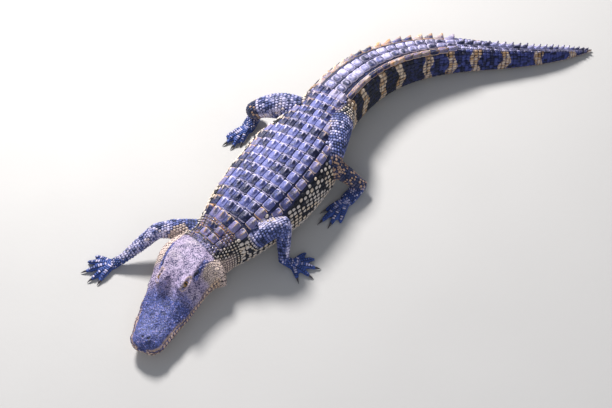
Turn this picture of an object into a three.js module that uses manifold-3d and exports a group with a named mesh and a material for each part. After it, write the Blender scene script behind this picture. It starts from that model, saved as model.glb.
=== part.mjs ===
// A life-size American alligator, still, lying on its belly with the head turned a little to its left
// and the tail swung to its left. Millimetres, +Z up, the floor at z = 0. The head points to -Y.
// Every length along the body is counted from the tip of the snout, along the line of the back.
import * as THREE from "three";
import { mergeVertices } from "three/addons/utils/BufferGeometryUtils.js";
import Module from "manifold-3d";

const wasm = await Module();
wasm.setup();
const { Manifold, Mesh } = wasm;

// Driving sizes
const TOTAL_LENGTH = 1508;
const GAP = 0.3;
const BELLY_MARK = 526; // the place along the body that stands over the origin
const HEAD_END = 262;
const NECK_END = 312;
const ROW_PITCH = 27; // one cross row of back scutes
const ROW_COUNT = 17;
const TRUNK_END = NECK_END + ROW_PITCH * ROW_COUNT;
const WHORL_PITCH = 25; // one ring of tail scutes where the crest is double
const DOUBLE_WHORLS = 15;
const CREST_MERGE = TRUNK_END + WHORL_PITCH * DOUBLE_WHORLS;
const TAIL_TIP_WHORL = 12;
const ROOT_DEPTH = 4; // how deep a scute is set into the body
const FLAT_SINK = 4; // the underside is flattened against the floor by this much
const SEED = 7;

// Direction of the body's line, in degrees from +X, at places along it
const HEADING = [
  [0, 99], [196, 99], [262, 74], [314, 76], [370, 84], [406, 84], [526, 90.5], [626, 93.5], [706, 94],
  [806, 87], [906, 73], [1006, 56], [1106, 42], [1206, 34], [1306, 36.5], [1406, 44], [1508, 52],
];

// Neck, trunk and tail: half width, height of the back, height of the widest part,
// and how square the upper and lower halves are (2 is an ellipse)
const BODY = [
  { s: 252, width: 64, back: 86, widest: 42, upper: 2.2, lower: 2.4 },
  { s: 291, width: 63, back: 94, widest: 44, upper: 2.3, lower: 2.4 },
  { s: 312, width: 67, back: 102, widest: 46, upper: 2.5, lower: 2.4 },
  { s: 351, width: 78, back: 115, widest: 50, upper: 2.7, lower: 2.6 },
  { s: 406, width: 91, back: 124, widest: 53, upper: 2.6, lower: 2.7 },
  { s: 486, width: 103, back: 130, widest: 54, upper: 2.6, lower: 2.7 },
  { s: 566, width: 105, back: 130, widest: 54, upper: 2.6, lower: 2.7 },
  { s: 636, width: 89, back: 127, widest: 52, upper: 2.6, lower: 2.7 },
  { s: 706, width: 69, back: 121, widest: 48, upper: 2.7, lower: 2.6 },
  { s: 771, width: 64, back: 115, widest: 46, upper: 3.2, lower: 2.5 },
  { s: 886, width: 59, back: 105, widest: 43, upper: 3.6, lower: 2.5 },
  { s: 1016, width: 49, back: 93, widest: 38, upper: 3.4, lower: 2.5 },
  { s: 1149, width: 37, back: 78, widest: 31, upper: 2.8, lower: 2.4 },
  { s: 1266, width: 27, back: 60, widest: 24, upper: 2.3, lower: 2.3 },
  { s: 1386, width: 17, back: 40, widest: 16, upper: 2.2, lower: 2.2 },
  { s: 1508, width: 3, back: 10, widest: 4, upper: 2, lower: 2 },
];

// Head: half width at the lips, height of the midline, half width and height of the upper edge
// (snout ridge, then skull table), height of the mouth line and of the chin
const HEAD = [
  { s: 0, lips: 14, top: 38, edge: 9, edgeTop: 37.5, mouth: 27, chin: 19 },
  { s: 7, lips: 27, top: 44, edge: 17, edgeTop: 43, mouth: 26, chin: 14 },
  { s: 20, lips: 35, top: 47, edge: 23, edgeTop: 45, mouth: 26, chin: 11 },
  { s: 40, lips: 40, top: 47, edge: 26, edgeTop: 45, mouth: 28, chin: 10 },
  { s: 67, lips: 45, top: 49, edge: 28, edgeTop: 47, mouth: 29, chin: 10 },
  { s: 100, lips: 51, top: 55, edge: 29, edgeTop: 54, mouth: 27, chin: 9 },
  { s: 125, lips: 55, top: 63, edge: 29, edgeTop: 66, mouth: 27, chin: 8 },
  { s: 150, lips: 58, top: 74, edge: 31, edgeTop: 78, mouth: 30, chin: 7 },
  { s: 174, lips: 62, top: 84, edge: 33, edgeTop: 86, mouth: 34, chin: 6 },
  { s: 206, lips: 69, top: 89, edge: 35, edgeTop: 89, mouth: 40, chin: 5 },
  { s: 226, lips: 73, top: 88, edge: 36, edgeTop: 87, mouth: 44, chin: 4 },
  { s: 244, lips: 73, top: 85, edge: 37, edgeTop: 80, mouth: 46, chin: 4 },
  { s: 262, lips: 65, top: 85, edge: 38, edgeTop: 77, mouth: 47, chin: 4 },
];
const JAW_END = 238;
// The turned neck pushes the left jowl out, most of all below the mouth, and draws the right one in
const CHEEK = { s: 240, spread: 32, upper: 0.13, lower: 0.23, right: 0.4 };
const JAW_INSET = 3; // the upper lip stands over the lower one

const EYE = { s: 148, side: 23, height: 76, radius: 11.5, bulge: 15 };
const NOSTRIL = { s: 20, side: 6.5, height: 50 };
const EAR = { from: 172, to: 216, side: 36, height: 84 };

// Legs: joints in the part's frame, half widths across and half heights through the limb
const ARM_RADII = { shoulder: 24, mid: 23, elbow: 17, fore: 15.5, wrist: 11 };
const LEG_RADII = { hip: 35, mid: 31, knee: 22, calf: 20, ankle: 14 };
const LIMBS = [
  {
    side: "left", kind: "arm", root: [44, -196, 62], middle: [70, -166, 86], bend: [90, -136, 88],
    end: [110, -172, 17], palm: 20,
    toes: [[-44, 32], [-8, 40], [22, 44], [50, 42], [80, 36]],
  },
  {
    side: "right", kind: "arm", root: [-62, -210, 48], middle: [-106, -241, 57], bend: [-146, -270, 58],
    end: [-186, -346, 17], palm: 22,
    toes: [[272, 44], [253, 52], [228, 54], [204, 50], [182, 40]],
  },
  {
    side: "left", kind: "leg", root: [30, 205, 80], middle: [60, 132, 91], bend: [83, 72, 76],
    end: [150, 94, 22], palm: 44,
    toes: [[240, 48], [256, 74], [271, 68], [286, 56]],
  },
  {
    side: "right", kind: "leg", root: [-52, 176, 76], middle: [-104, 154, 90], bend: [-152, 128, 74],
    end: [-172, 166, 22], palm: 40,
    toes: [[284, 42], [270, 58], [254, 60], [240, 50]],
  },
];
const TOE = {
  arm: { root: 6.4, tip: 3.6, height: 6, sole: 13, web: 0.34 },
  leg: { root: 7.6, tip: 3.8, height: 7, sole: 17, web: 0.62 },
};
const WEB = { low: 1.2, thickness: 2.4 };
const CLAW_TOES = 3; // only the three inner toes of each foot carry a claw
const CLAW = { arm: 13, leg: 16 };

// Even-handed cubic interpolation that never overshoots its table
function track(points) {
  const n = points.length;
  const slope = points.slice(1).map((p, i) => (p[1] - points[i][1]) / (p[0] - points[i][0]));
  const tangent = points.map((_, i) => {
    if (i === 0) return slope[0];
    if (i === n - 1) return slope[n - 2];
    const [a, b] = [slope[i - 1], slope[i]];
    return a * b <= 0 ? 0 : (2 * a * b) / (a + b);
  });
  return (x) => {
    const clamped = Math.min(Math.max(x, points[0][0]), points[n - 1][0]);
    let i = 0;
    while (i < n - 2 && clamped > points[i + 1][0]) i++;
    const h = points[i + 1][0] - points[i][0];
    const t = (clamped - points[i][0]) / h;
    const [t2, t3] = [t * t, t * t * t];
    return (
      (2 * t3 - 3 * t2 + 1) * points[i][1] + (t3 - 2 * t2 + t) * h * tangent[i] +
      (3 * t2 - 2 * t3) * points[i + 1][1] + (t3 - t2) * h * tangent[i + 1]
    );
  };
}
function tracksOf(table) {
  const names = Object.keys(table[0]).filter((name) => name !== "s");
  return Object.fromEntries(names.map((name) => [name, track(table.map((row) => [row.s, row[name]]))]));
}
const body = tracksOf(BODY);
const head = tracksOf(HEAD);
const heading = track(HEADING);

// The body's line, integrated from the heading, with BELLY_MARK at the origin
const STEP = 2;
const line = [[0, 0]];
for (let s = 0; s < TOTAL_LENGTH; s += STEP) {
  const a = THREE.MathUtils.degToRad(heading(s + STEP / 2));
  const [x, y] = line[line.length - 1];
  line.push([x + STEP * Math.cos(a), y + STEP * Math.sin(a)]);
}
const [markX, markY] = line[BELLY_MARK / STEP];
function lineAt(s) {
  const i = Math.min(Math.floor(s / STEP), line.length - 2);
  const t = s / STEP - i;
  const x = line[i][0] * (1 - t) + line[i + 1][0] * t - markX;
  const y = line[i][1] * (1 - t) + line[i + 1][1] * t - markY;
  return { x, y, a: THREE.MathUtils.degToRad(heading(s)) };
}
// A point at s along the body, x to its left and z above the floor
function place(s, x, z) {
  const c = lineAt(s);
  return new THREE.Vector3(c.x + x * Math.sin(c.a), c.y - x * Math.cos(c.a), z);
}

// Solids from rings of points: every ring has the same number of points, and the ends are closed
function skin(rings) {
  const around = rings[0].length;
  const points = rings.flat();
  const index = [];
  for (let r = 0; r < rings.length - 1; r++)
    for (let i = 0; i < around; i++) {
      const [a, b] = [r * around + i, r * around + ((i + 1) % around)];
      index.push(a, b, a + around, b, b + around, a + around);
    }
  for (const [r, turn] of [[0, 1], [rings.length - 1, 0]]) {
    const centre = rings[r].reduce((sum, p) => sum.add(p), new THREE.Vector3()).divideScalar(around);
    points.push(centre);
    for (let i = 0; i < around; i++) {
      const [a, b] = [r * around + i, r * around + ((i + 1) % around)];
      index.push(points.length - 1, ...(turn ? [b, a] : [a, b]));
    }
  }
  return solid(new THREE.BufferGeometry().setFromPoints(points).setIndex(index));
}
function solid(geometry) {
  const bare = geometry.clone();
  bare.deleteAttribute("normal");
  bare.deleteAttribute("uv");
  const merged = mergeVertices(bare, 1e-4);
  const vertProperties = Float32Array.from(merged.attributes.position.array);
  const triVerts = Uint32Array.from(merged.index.array);
  const made = new Manifold(new Mesh({ numProp: 3, vertProperties, triVerts }));
  if (made.volume() >= 0) return made;
  for (let i = 0; i < triVerts.length; i += 3)
    [triVerts[i + 1], triVerts[i + 2]] = [triVerts[i + 2], triVerts[i + 1]];
  return new Manifold(new Mesh({ numProp: 3, vertProperties, triVerts }));
}
const fuse = (pieces) => pieces.reduce((whole, piece) => whole.add(piece));
function largest(made) {
  return made.decompose().sort((a, b) => b.volume() - a.volume())[0];
}

// Neck, trunk and tail sections
function bodyPoint(s, angle, grow) {
  const [c, v] = [Math.cos(angle), Math.sin(angle)];
  const widest = body.widest(s);
  const power = 2 / (v >= 0 ? body.upper(s) : body.lower(s));
  const x = (body.width(s) + grow) * Math.sign(c) * Math.abs(c) ** power;
  const rise = v >= 0 ? body.back(s) + grow - widest : widest + FLAT_SINK;
  return place(s, x, Math.max(-grow, widest + rise * Math.sign(v) * Math.abs(v) ** power));
}
const BODY_SIDES = 20;
function bodyLoft(from, to, step, grow = 0) {
  const count = Math.max(2, Math.round((to - from) / step) + 1);
  const rings = [];
  for (let r = 0; r < count; r++) {
    const s = from + ((to - from) * r) / (count - 1);
    const angle = (i) => ((i + 0.5) / BODY_SIDES) * 2 * Math.PI;
    rings.push(Array.from({ length: BODY_SIDES }, (_, i) => bodyPoint(s, angle(i), grow)));
  }
  return skin(rings);
}

// The back's surface at x to the left, and a point raised above it
function backPoint(s, x, lift) {
  const at = (side) => {
    const share = Math.min(Math.abs(side) / body.width(s), 0.999);
    const power = body.upper(s);
    return body.widest(s) + (body.back(s) - body.widest(s)) * (1 - share ** power) ** (1 / power);
  };
  const across = at(x + 1) - at(x - 1);
  const normal = new THREE.Vector2(-across, 2).normalize();
  return place(s, x + normal.x * lift, at(x) + normal.y * lift);
}

// A keeled plate: its foot is sunk in the body, its rim stands up and its keel rises to the rear
function scute({ s, x, length, width, rim, keel, flat = 0.72 }, grow = 0) {
  const [half, side] = [length / 2 + grow, width / 2 + grow];
  const top = rim + grow;
  const inner = flat * side;
  const points = [
    backPoint(s - half, x - side, -ROOT_DEPTH), backPoint(s - half, x + side, -ROOT_DEPTH),
    backPoint(s + half, x + side, -ROOT_DEPTH), backPoint(s + half, x - side, -ROOT_DEPTH),
    backPoint(s - half * 0.9, x - inner, top * 0.7), backPoint(s - half * 0.9, x + inner, top * 0.7),
    backPoint(s + half * 0.9, x + inner, top), backPoint(s + half * 0.9, x - inner, top),
    backPoint(s - half * 0.6, x, top + keel * 0.35), backPoint(s + half * 0.72, x, top + keel),
  ];
  const faces = [
    0, 3, 2, 0, 2, 1, 0, 1, 5, 0, 5, 4, 1, 2, 6, 1, 6, 5, 2, 3, 7, 2, 7, 6, 3, 0, 4, 3, 4, 7,
    4, 5, 8, 5, 6, 9, 5, 9, 8, 6, 7, 9, 7, 4, 8, 7, 8, 9,
  ];
  return solid(new THREE.BufferGeometry().setFromPoints(points).setIndex(faces));
}

// Small seeded variation, the same on every run
let state = SEED;
function vary(share) {
  state = (state * 1103515245 + 12345) % 2147483648;
  return 1 + share * ((2 * state) / 2147483648 - 1);
}

// Back scutes of one cross row of the trunk
const SHIELD_COLUMNS = [6, 6, 6, 8, 8, 8, 8, 8, 8, 8, 8, 6, 6, 6, 4, 4, 4];
const COLUMN_WIDTH = track([[312, 20], [426, 22], [566, 22], [666, 20], [771, 21]]);
function trunkRow(row) {
  const s = NECK_END + ROW_PITCH * (row + 0.5);
  const columns = SHIELD_COLUMNS[row];
  const wide = COLUMN_WIDTH(s);
  return Array.from({ length: columns }, (_, i) => {
    const lane = i - (columns - 1) / 2;
    const outer = Math.abs(lane) > 2.6;
    return {
      s, x: lane * wide, length: ROW_PITCH * 0.86 * vary(0.03), width: wide * (outer ? 0.74 : 0.88),
      rim: 1.6, keel: (outer ? 4.5 : 5) * vary(0.15),
    };
  });
}

// Neck shield: two pairs of tall plates and a smaller one outside each of the front pair
const NECK_SCUTES = [
  { s: 281, x: 13, length: 16, width: 19, keel: 6 }, { s: 282, x: 33, length: 12, width: 13, keel: 4 },
  { s: 300, x: 12, length: 15, width: 17, keel: 6 },
];
const neckShield = () =>
  NECK_SCUTES.flatMap((plate) => [1, -1].map((side) => ({ rim: 1.6, ...plate, x: plate.x * side })));

// Tail scutes: two crests of blades that close in on each other, with a flat pair between them,
// then one crest to the tip
const crestSide = track([[TRUNK_END, 0.68], [CREST_MERGE - 60, 0.62], [CREST_MERGE, 0.42]]);
const crestKeel = track([[TRUNK_END, 6], [900, 8], [CREST_MERGE, 13], [1300, 16], [TOTAL_LENGTH, 3]]);
function doubleWhorl(index) {
  const s = TRUNK_END + WHORL_PITCH * (index + 0.5);
  const side = body.width(s) * crestSide(s);
  const blades = [1, -1].map((hand) => ({
    s, x: side * hand, length: WHORL_PITCH * 0.9, width: Math.min(13, side * 0.8), rim: 1.2,
    keel: crestKeel(s) * vary(0.08), flat: 0.55,
  }));
  if (side < 17) return blades;
  const inner = [1, -1].map((hand) => ({
    s, x: side * 0.33 * hand, length: WHORL_PITCH * 0.86, width: side * 0.5, rim: 1.2, keel: 1.6,
  }));
  return [...blades, ...inner];
}
const singlePitch = (s) => 22 - (s - CREST_MERGE) * 0.026;
const singleStations = [];
for (let s = CREST_MERGE; s + singlePitch(s) < TOTAL_LENGTH - TAIL_TIP_WHORL; s += singlePitch(s))
  singleStations.push({ s: s + singlePitch(s) / 2, pitch: singlePitch(s) });
const singleBlade = ({ s, pitch }) => ({
  s, x: 0, length: pitch * 0.9, width: Math.min(9, body.width(s) * 0.8), rim: 1,
  keel: crestKeel(s) * vary(0.08), flat: 0.5,
});

// Axial nodes, cut from one line with a thin gap between neighbours
const RING_STEP = 27;
const TAIL_CUTS = [TRUNK_END, TRUNK_END + 5 * WHORL_PITCH, TRUNK_END + 10 * WHORL_PITCH, CREST_MERGE];
const SPLIT_BLADE = 7; // the first single blade of the last node
const TAIL_SPLIT = singleStations[SPLIT_BLADE].s - singleStations[SPLIT_BLADE].pitch / 2;
const core = (from, to, grow) => bodyLoft(from + GAP / 2, to - GAP / 2, RING_STEP, grow);
function axial(from, to, plates) {
  return largest(fuse([core(from, to, 0), ...plates.map((plate) => scute(plate))]));
}

// Head sections: the upper head stands on the mouth line, the lower jaw hangs from it
function lipWave(s) {
  return s > 12 && s < 190 ? 1.1 * Math.sin(s / 7.2) : 0;
}
function upperHalf(s, grow) {
  const [edge, edgeTop] = [head.edge(s) + grow, head.edgeTop(s) + grow];
  const [lips, mouth] = [head.lips(s) + lipWave(s) + grow, head.mouth(s) + GAP / 2];
  const cheek = edgeTop * 0.42 + mouth * 0.58;
  return [
    [edge * 0.5, head.top(s) + grow + (edgeTop - head.top(s) - grow) * 0.35], [edge * 0.92, edgeTop],
    [edge * 1.12 + 1, edgeTop - 3], [(edge + lips) / 2 + 1, (edgeTop + cheek) / 2], [lips * 0.97, cheek],
    [lips, mouth + 4], [lips - 1.2, mouth],
  ];
}
function jawHalf(s, grow = 0) {
  const wide = Math.max(head.lips(s) - JAW_INSET, 6) + grow;
  const [mouth, chin] = [head.mouth(s) - GAP / 2 + grow, Math.max(head.chin(s) - grow, 0)];
  return [
    [wide - 1, mouth], [wide, mouth - 1.5], [wide * 0.97, chin + (mouth - chin) * 0.5],
    [wide * 0.8, chin + (mouth - chin) * 0.16], [wide * 0.5, chin],
  ];
}
function headLoft({ from, to, step, half, top, floor, swell }) {
  const count = Math.round((to - from) / step) + 1;
  const rings = [];
  for (let r = 0; r < count; r++) {
    const share = r / (count - 1);
    const s = from + (to - from) * share ** 1.25;
    const bulge = swell * Math.exp(-(((s - CHEEK.s) / CHEEK.spread) ** 2));
    const side = half(s);
    rings.push([
      place(s, 0, top(s)),
      ...side.map(([x, z]) => place(s, x * (1 + bulge), z)),
      place(s, 0, floor(s)),
      ...side.reverse().map(([x, z]) => place(s, -x * (1 - bulge * CHEEK.right), z)),
    ]);
  }
  return skin(rings);
}
const ellipsoid = (centre, radii, turn = 0, tilt = 0, detail = 10) =>
  solid(
    new THREE.SphereGeometry(1, detail, Math.round(detail * 0.6)).scale(...radii).applyMatrix4(
      new THREE.Matrix4().makeRotationFromEuler(new THREE.Euler(0, tilt, turn)).setPosition(centre),
    ),
  );
function eyeCentre(hand) {
  return place(EYE.s, EYE.side * hand, EYE.height);
}
function upperLoft(grow) {
  return headLoft({
    from: 0, to: HEAD_END - GAP / 2, step: 12, swell: CHEEK.upper, half: (s) => upperHalf(s, grow),
    top: (s) => head.top(s) + grow, floor: (s) => head.mouth(s) + GAP / 2 - grow,
  });
}
const eyeball = (hand, grow) => ellipsoid(eyeCentre(hand), Array(3).fill(EYE.radius + grow), 0, 0, 12);
function headSolid() {
  const turn = lineAt(EYE.s).a - Math.PI / 2;
  let made = upperLoft(0);
  made = made.add(ellipsoid(place(NOSTRIL.s + 2, 0, NOSTRIL.height - 4), [17, 15, 6], turn));
  for (const hand of [1, -1]) {
    const socket = eyeCentre(hand).add(new THREE.Vector3(0, 0, 1));
    made = made.add(ellipsoid(socket, [EYE.bulge - 1, EYE.bulge + 4, EYE.bulge - 3], turn));
  }
  for (const hand of [1, -1]) {
    made = made.subtract(eyeball(hand, GAP));
    const slit = place(EYE.s, (EYE.side + EYE.bulge * 0.72) * hand, EYE.height + EYE.bulge * 0.62);
    made = made.subtract(ellipsoid(slit, [8, 13, 4.2], turn, -0.75 * hand, 10));
    const nostril = place(NOSTRIL.s, NOSTRIL.side * hand, NOSTRIL.height + 1);
    made = made.subtract(ellipsoid(nostril, [3.4, 4.2, 3], turn + 0.5 * hand, 0, 7));
    const ear = place((EAR.from + EAR.to) / 2, (EAR.side + 3) * hand, EAR.height);
    made = made.subtract(ellipsoid(ear, [5, (EAR.to - EAR.from) / 2, 1.8], turn, 0.5 * hand, 8));
  }
  return largest(made);
}
function jawSolid(grow = 0) {
  return headLoft({
    from: 3, to: JAW_END, step: 14, swell: CHEEK.lower, half: (s) => jawHalf(s, grow),
    top: (s) => head.mouth(s) - GAP / 2 + grow, floor: head.chin,
  });
}

// The throat closes the space behind the jaw, under the back of the head
function throatHalf(s, grow = 0) {
  const wide = head.lips(s) - 2 + grow;
  const [top, chin] = [head.mouth(s) - GAP / 2 + grow, Math.max(head.chin(s) - grow, 0)];
  return [
    [wide - 2, top], [wide, top - 4], [wide, chin + (top - chin) * 0.45],
    [wide * 0.82, chin + (top - chin) * 0.12], [wide * 0.5, chin],
  ];
}
function throatSolid(grow = 0) {
  return headLoft({
    from: JAW_END + GAP - grow, to: HEAD_END - GAP / 2, step: 6, swell: CHEEK.lower,
    half: (s) => throatHalf(s, grow), top: (s) => head.mouth(s) - GAP / 2 + grow, floor: head.chin,
  });
}

// Limb segments: a line of points with half widths, closed by rounded ends
const LIMB_SIDES = 10;
function segment(points, radii, { flatten = 1, grow = 0, sides = LIMB_SIDES, steps = 4, blunt = 0 } = {}) {
  const curve = new THREE.CatmullRomCurve3(points, false, "centripetal");
  const radius = track(radii.map((r, i) => [i / (radii.length - 1), r]));
  const first = curve.getTangentAt(0);
  let across = new THREE.Vector3(0, 0, 1).cross(first);
  if (across.length() < 0.3) across = new THREE.Vector3(1, 0, 0).cross(first);
  across.normalize();
  const rings = [];
  const ring = (t, shrink, push) => {
    const tangent = curve.getTangentAt(t);
    across.addScaledVector(tangent, -across.dot(tangent)).normalize();
    const over = tangent.clone().cross(across);
    const r = (radius(t) + grow) * shrink;
    const centre = curve.getPointAt(t).addScaledVector(tangent, push);
    rings.push(
      Array.from({ length: sides }, (_, i) => {
        const a = (i / sides) * 2 * Math.PI;
        const p = centre.clone().addScaledVector(across, r * Math.cos(a));
        p.addScaledVector(over, r * flatten * Math.sin(a));
        p.z = Math.max(p.z, -grow);
        return p;
      }),
    );
  };
  const caps = [[0.35, 0.94], [0.75, 0.66]];
  const [start, end] = [radius(0) + grow, radius(1) + grow];
  for (const [shrink, out] of caps) ring(0, shrink, -start * out);
  for (let i = 0; i <= steps; i++) ring(i / steps, 1, 0);
  if (!blunt) for (const [shrink, out] of [...caps].reverse()) ring(1, shrink, end * out);
  return skin(rings);
}
const vec = (p) => new THREE.Vector3(...p);
const bearing = (degrees, length) => {
  const a = THREE.MathUtils.degToRad(degrees);
  return new THREE.Vector3(Math.cos(a) * length, Math.sin(a) * length, 0);
};

// One foot: a flat palm and its toes, with webs between the toes, and a claw for each inner toe
function foot(limb) {
  const size = TOE[limb.kind];
  const wrist = vec(limb.end);
  const aim = limb.toes[limb.kind === "arm" ? 2 : 1][0];
  const hub = wrist.clone().add(bearing(aim, limb.palm));
  hub.z = size.height;
  const soleRadii = [size.sole * 0.82, size.sole, size.sole * 1.02];
  const palm = [wrist, wrist.clone().lerp(hub, 0.5), hub];
  const pieces = [segment(palm, soleRadii, { flatten: 0.62, steps: 2 })];
  const tips = [];
  limb.toes.forEach(([angle, length], i) => {
    const spread = (i - (limb.toes.length - 1) / 2) / limb.toes.length;
    const root = hub.clone().add(bearing(angle, size.sole * 0.35));
    const tip = root.clone().add(bearing(angle, length));
    const knuckle = root.clone().lerp(tip, 0.45).setZ(size.height + 1.5 - Math.abs(spread));
    root.z = size.height - 1;
    tip.z = size.tip * 0.9;
    const clawed = i < CLAW_TOES;
    const radii = [size.root, size.root * 0.86, size.tip];
    pieces.push(segment([root, knuckle, tip], radii, { sides: 6, steps: 2, blunt: clawed }));
    tips.push({ root, tip, knuckle, clawed });
  });
  for (let i = 0; i + 1 < tips.length; i++) {
    const [a, b] = [tips[i], tips[i + 1]];
    const corners = [hub, a.root.clone().lerp(a.tip, size.web), b.root.clone().lerp(b.tip, size.web)];
    const ring = (z) => corners.map((p) => new THREE.Vector3(p.x, p.y, z));
    pieces.push(skin([ring(WEB.low), ring(WEB.low + WEB.thickness)]));
  }
  return { made: fuse(pieces), tips };
}
function claw(toe, length) {
  const ahead = toe.tip.clone().sub(toe.knuckle).normalize();
  const from = toe.tip.clone().addScaledVector(ahead, GAP);
  const across = new THREE.Vector3(0, 0, 1).cross(ahead).normalize();
  const over = ahead.clone().cross(across);
  const rings = [[0, 3, 0], [0.55, 2.1, 0.3], [1, 0.5, -1]].map(([share, r, lift]) =>
    Array.from({ length: 6 }, (_, i) => {
      const a = (i / 6) * 2 * Math.PI;
      const p = from.clone().addScaledVector(ahead, share * length);
      p.addScaledVector(across, r * 0.8 * Math.cos(a)).addScaledVector(over, lift + r * Math.sin(a));
      p.z = Math.max(p.z, 0.05);
      return p;
    }),
  );
  return skin(rings);
}

// Materials, as the photograph shows the animal
const finish = (color, roughness) => new THREE.MeshStandardMaterial({ color, roughness, metalness: 0 });
const HIDE = finish(0x4a5078, 0.5);
const BANDED = finish(0x34365a, 0.55);
const JOWL = finish(0xb59a78, 0.6);
const EYE_FINISH = finish(0x8a6a2c, 0.12);
const HORN = finish(0x23222b, 0.3);

const alligator = new THREE.Group();
function add(name, made, material) {
  const mesh = made.getMesh();
  const geometry = new THREE.BufferGeometry();
  geometry.setAttribute("position", new THREE.BufferAttribute(Float32Array.from(mesh.vertProperties), 3));
  geometry.setIndex(new THREE.BufferAttribute(Uint32Array.from(mesh.triVerts), 1));
  geometry.computeVertexNormals();
  const node = new THREE.Mesh(geometry, material);
  node.name = name;
  alligator.add(node);
  return made;
}

const whorls = (from, to) => Array.from({ length: to - from }, (_, i) => doubleWhorl(from + i)).flat();
const rowAt = (row) => NECK_END + ROW_PITCH * row;
const TRUNK_NODES = [["torso_front", 0, 6], ["torso_middle", 6, 12], ["pelvis", 12, ROW_COUNT]];
const trunk = TRUNK_NODES.map(([name, from, to]) => ({
  name, from: rowAt(from), to: rowAt(to),
  plates: Array.from({ length: to - from }, (_, i) => trunkRow(from + i)).flat(),
}));

add("head", headSolid(), HIDE);
add("lower_jaw", jawSolid(), JOWL);
add("throat", throatSolid(), JOWL);
for (const [hand, side] of [[1, "left"], [-1, "right"]])
  add(`eye_${side}`, eyeball(hand, 0), EYE_FINISH);
add("neck", axial(HEAD_END, NECK_END, neckShield()), HIDE);
for (const { name, from, to, plates } of trunk) add(name, axial(from, to, plates), HIDE);
for (let i = 0; i < 3; i++)
  add(`tail_${i + 1}`, axial(TAIL_CUTS[i], TAIL_CUTS[i + 1], whorls(i * 5, i * 5 + 5)), BANDED);
const singles = [singleStations.slice(0, SPLIT_BLADE), singleStations.slice(SPLIT_BLADE)];
add("tail_4", axial(CREST_MERGE, TAIL_SPLIT, singles[0].map(singleBlade)), BANDED);
add("tail_5", axial(TAIL_SPLIT, TOTAL_LENGTH, singles[1].map(singleBlade)), BANDED);

// What the limbs are cut back from: the head, the neck, the trunk and their scutes, each a gap larger
const trunkClear = fuse([
  upperLoft(GAP), jawSolid(GAP), throatSolid(GAP),
  core(HEAD_END, NECK_END, GAP), core(TAIL_CUTS[0], TAIL_CUTS[1], GAP),
  ...trunk.flatMap(({ from, to, plates }) => [
    bodyLoft(from, to, RING_STEP, GAP), ...plates.map((plate) => scute(plate, GAP)),
  ]),
]);
for (const limb of LIMBS) {
  const arm = limb.kind === "arm";
  const names = arm ? ["upper_arm", "forearm", "hand"] : ["thigh", "shank", "foot"];
  const [upperName, lowerName, footName] = names;
  const r = arm ? ARM_RADII : LEG_RADII;
  const [upperRadii, lowerRadii] = arm
    ? [[r.shoulder, r.mid, r.elbow], [r.elbow, r.fore, r.wrist]]
    : [[r.hip, r.mid, r.knee], [r.knee, r.calf, r.ankle]];
  const [root, middle, bend, end] = [limb.root, limb.middle, limb.bend, limb.end].map(vec);
  const calf = bend.clone().lerp(end, 0.4);
  const upper = (grow) => segment([root, middle, bend], upperRadii, { grow, flatten: 0.92 });
  const lower = (grow) => segment([bend, calf, end], lowerRadii, { grow, flatten: 0.92 });
  const sole = foot(limb);
  add(`${upperName}_${limb.side}`, largest(upper(0).subtract(trunkClear)), HIDE);
  add(`${lowerName}_${limb.side}`, largest(lower(0).subtract(upper(GAP)).subtract(trunkClear)), HIDE);
  const ankleClear = fuse([lower(GAP), upper(GAP), trunkClear]);
  add(`${footName}_${limb.side}`, largest(sole.made.subtract(ankleClear)), HIDE);
  sole.tips.forEach((toe, i) => {
    if (toe.clawed) add(`claw_${footName}_${limb.side}_${i + 1}`, claw(toe, CLAW[limb.kind]), HORN);
  });
}

export default alligator;
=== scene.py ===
"""A life-size American alligator at rest: skin, scutes, scales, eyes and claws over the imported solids."""

import sys
import logging
import math
from contextlib import contextmanager
from dataclasses import dataclass, field, replace
from enum import Enum
from typing import Iterator, Sequence

import bmesh
import bpy
import numpy as np
from mathutils import Matrix, Vector, noise
from mathutils.bvhtree import BVHTree


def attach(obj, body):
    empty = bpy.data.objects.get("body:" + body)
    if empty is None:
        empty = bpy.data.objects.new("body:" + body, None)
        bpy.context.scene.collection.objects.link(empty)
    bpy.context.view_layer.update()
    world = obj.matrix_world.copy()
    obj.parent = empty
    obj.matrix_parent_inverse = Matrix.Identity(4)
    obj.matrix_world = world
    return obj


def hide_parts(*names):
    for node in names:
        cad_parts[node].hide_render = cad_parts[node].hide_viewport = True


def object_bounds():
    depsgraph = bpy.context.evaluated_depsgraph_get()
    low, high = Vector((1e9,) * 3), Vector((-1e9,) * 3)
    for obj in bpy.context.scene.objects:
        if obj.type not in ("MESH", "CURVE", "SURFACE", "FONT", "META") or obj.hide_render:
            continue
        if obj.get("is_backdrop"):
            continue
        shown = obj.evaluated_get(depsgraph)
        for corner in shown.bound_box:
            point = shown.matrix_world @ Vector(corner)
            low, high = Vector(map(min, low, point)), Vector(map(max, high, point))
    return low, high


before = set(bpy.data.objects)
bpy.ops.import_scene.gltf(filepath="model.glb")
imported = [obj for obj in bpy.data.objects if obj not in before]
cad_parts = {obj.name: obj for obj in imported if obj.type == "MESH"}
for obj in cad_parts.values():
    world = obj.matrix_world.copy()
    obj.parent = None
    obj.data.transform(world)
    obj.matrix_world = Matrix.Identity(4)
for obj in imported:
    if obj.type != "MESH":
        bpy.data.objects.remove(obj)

LOG = logging.getLogger("alligator")
MM = 0.001
HANDS = (1, -1)
UPRIGHT = np.array([0.0, 0.0, 1.0])
LOWEST = np.array([-np.inf, -np.inf, 0.25])
Pairs = Sequence[tuple[float, float]]
Array = np.ndarray
Thing = bpy.types.Object
Mesh = bpy.types.Mesh
Material = bpy.types.Material
Socket = bpy.types.NodeSocket


# ---- The body's line and sections ----


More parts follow.
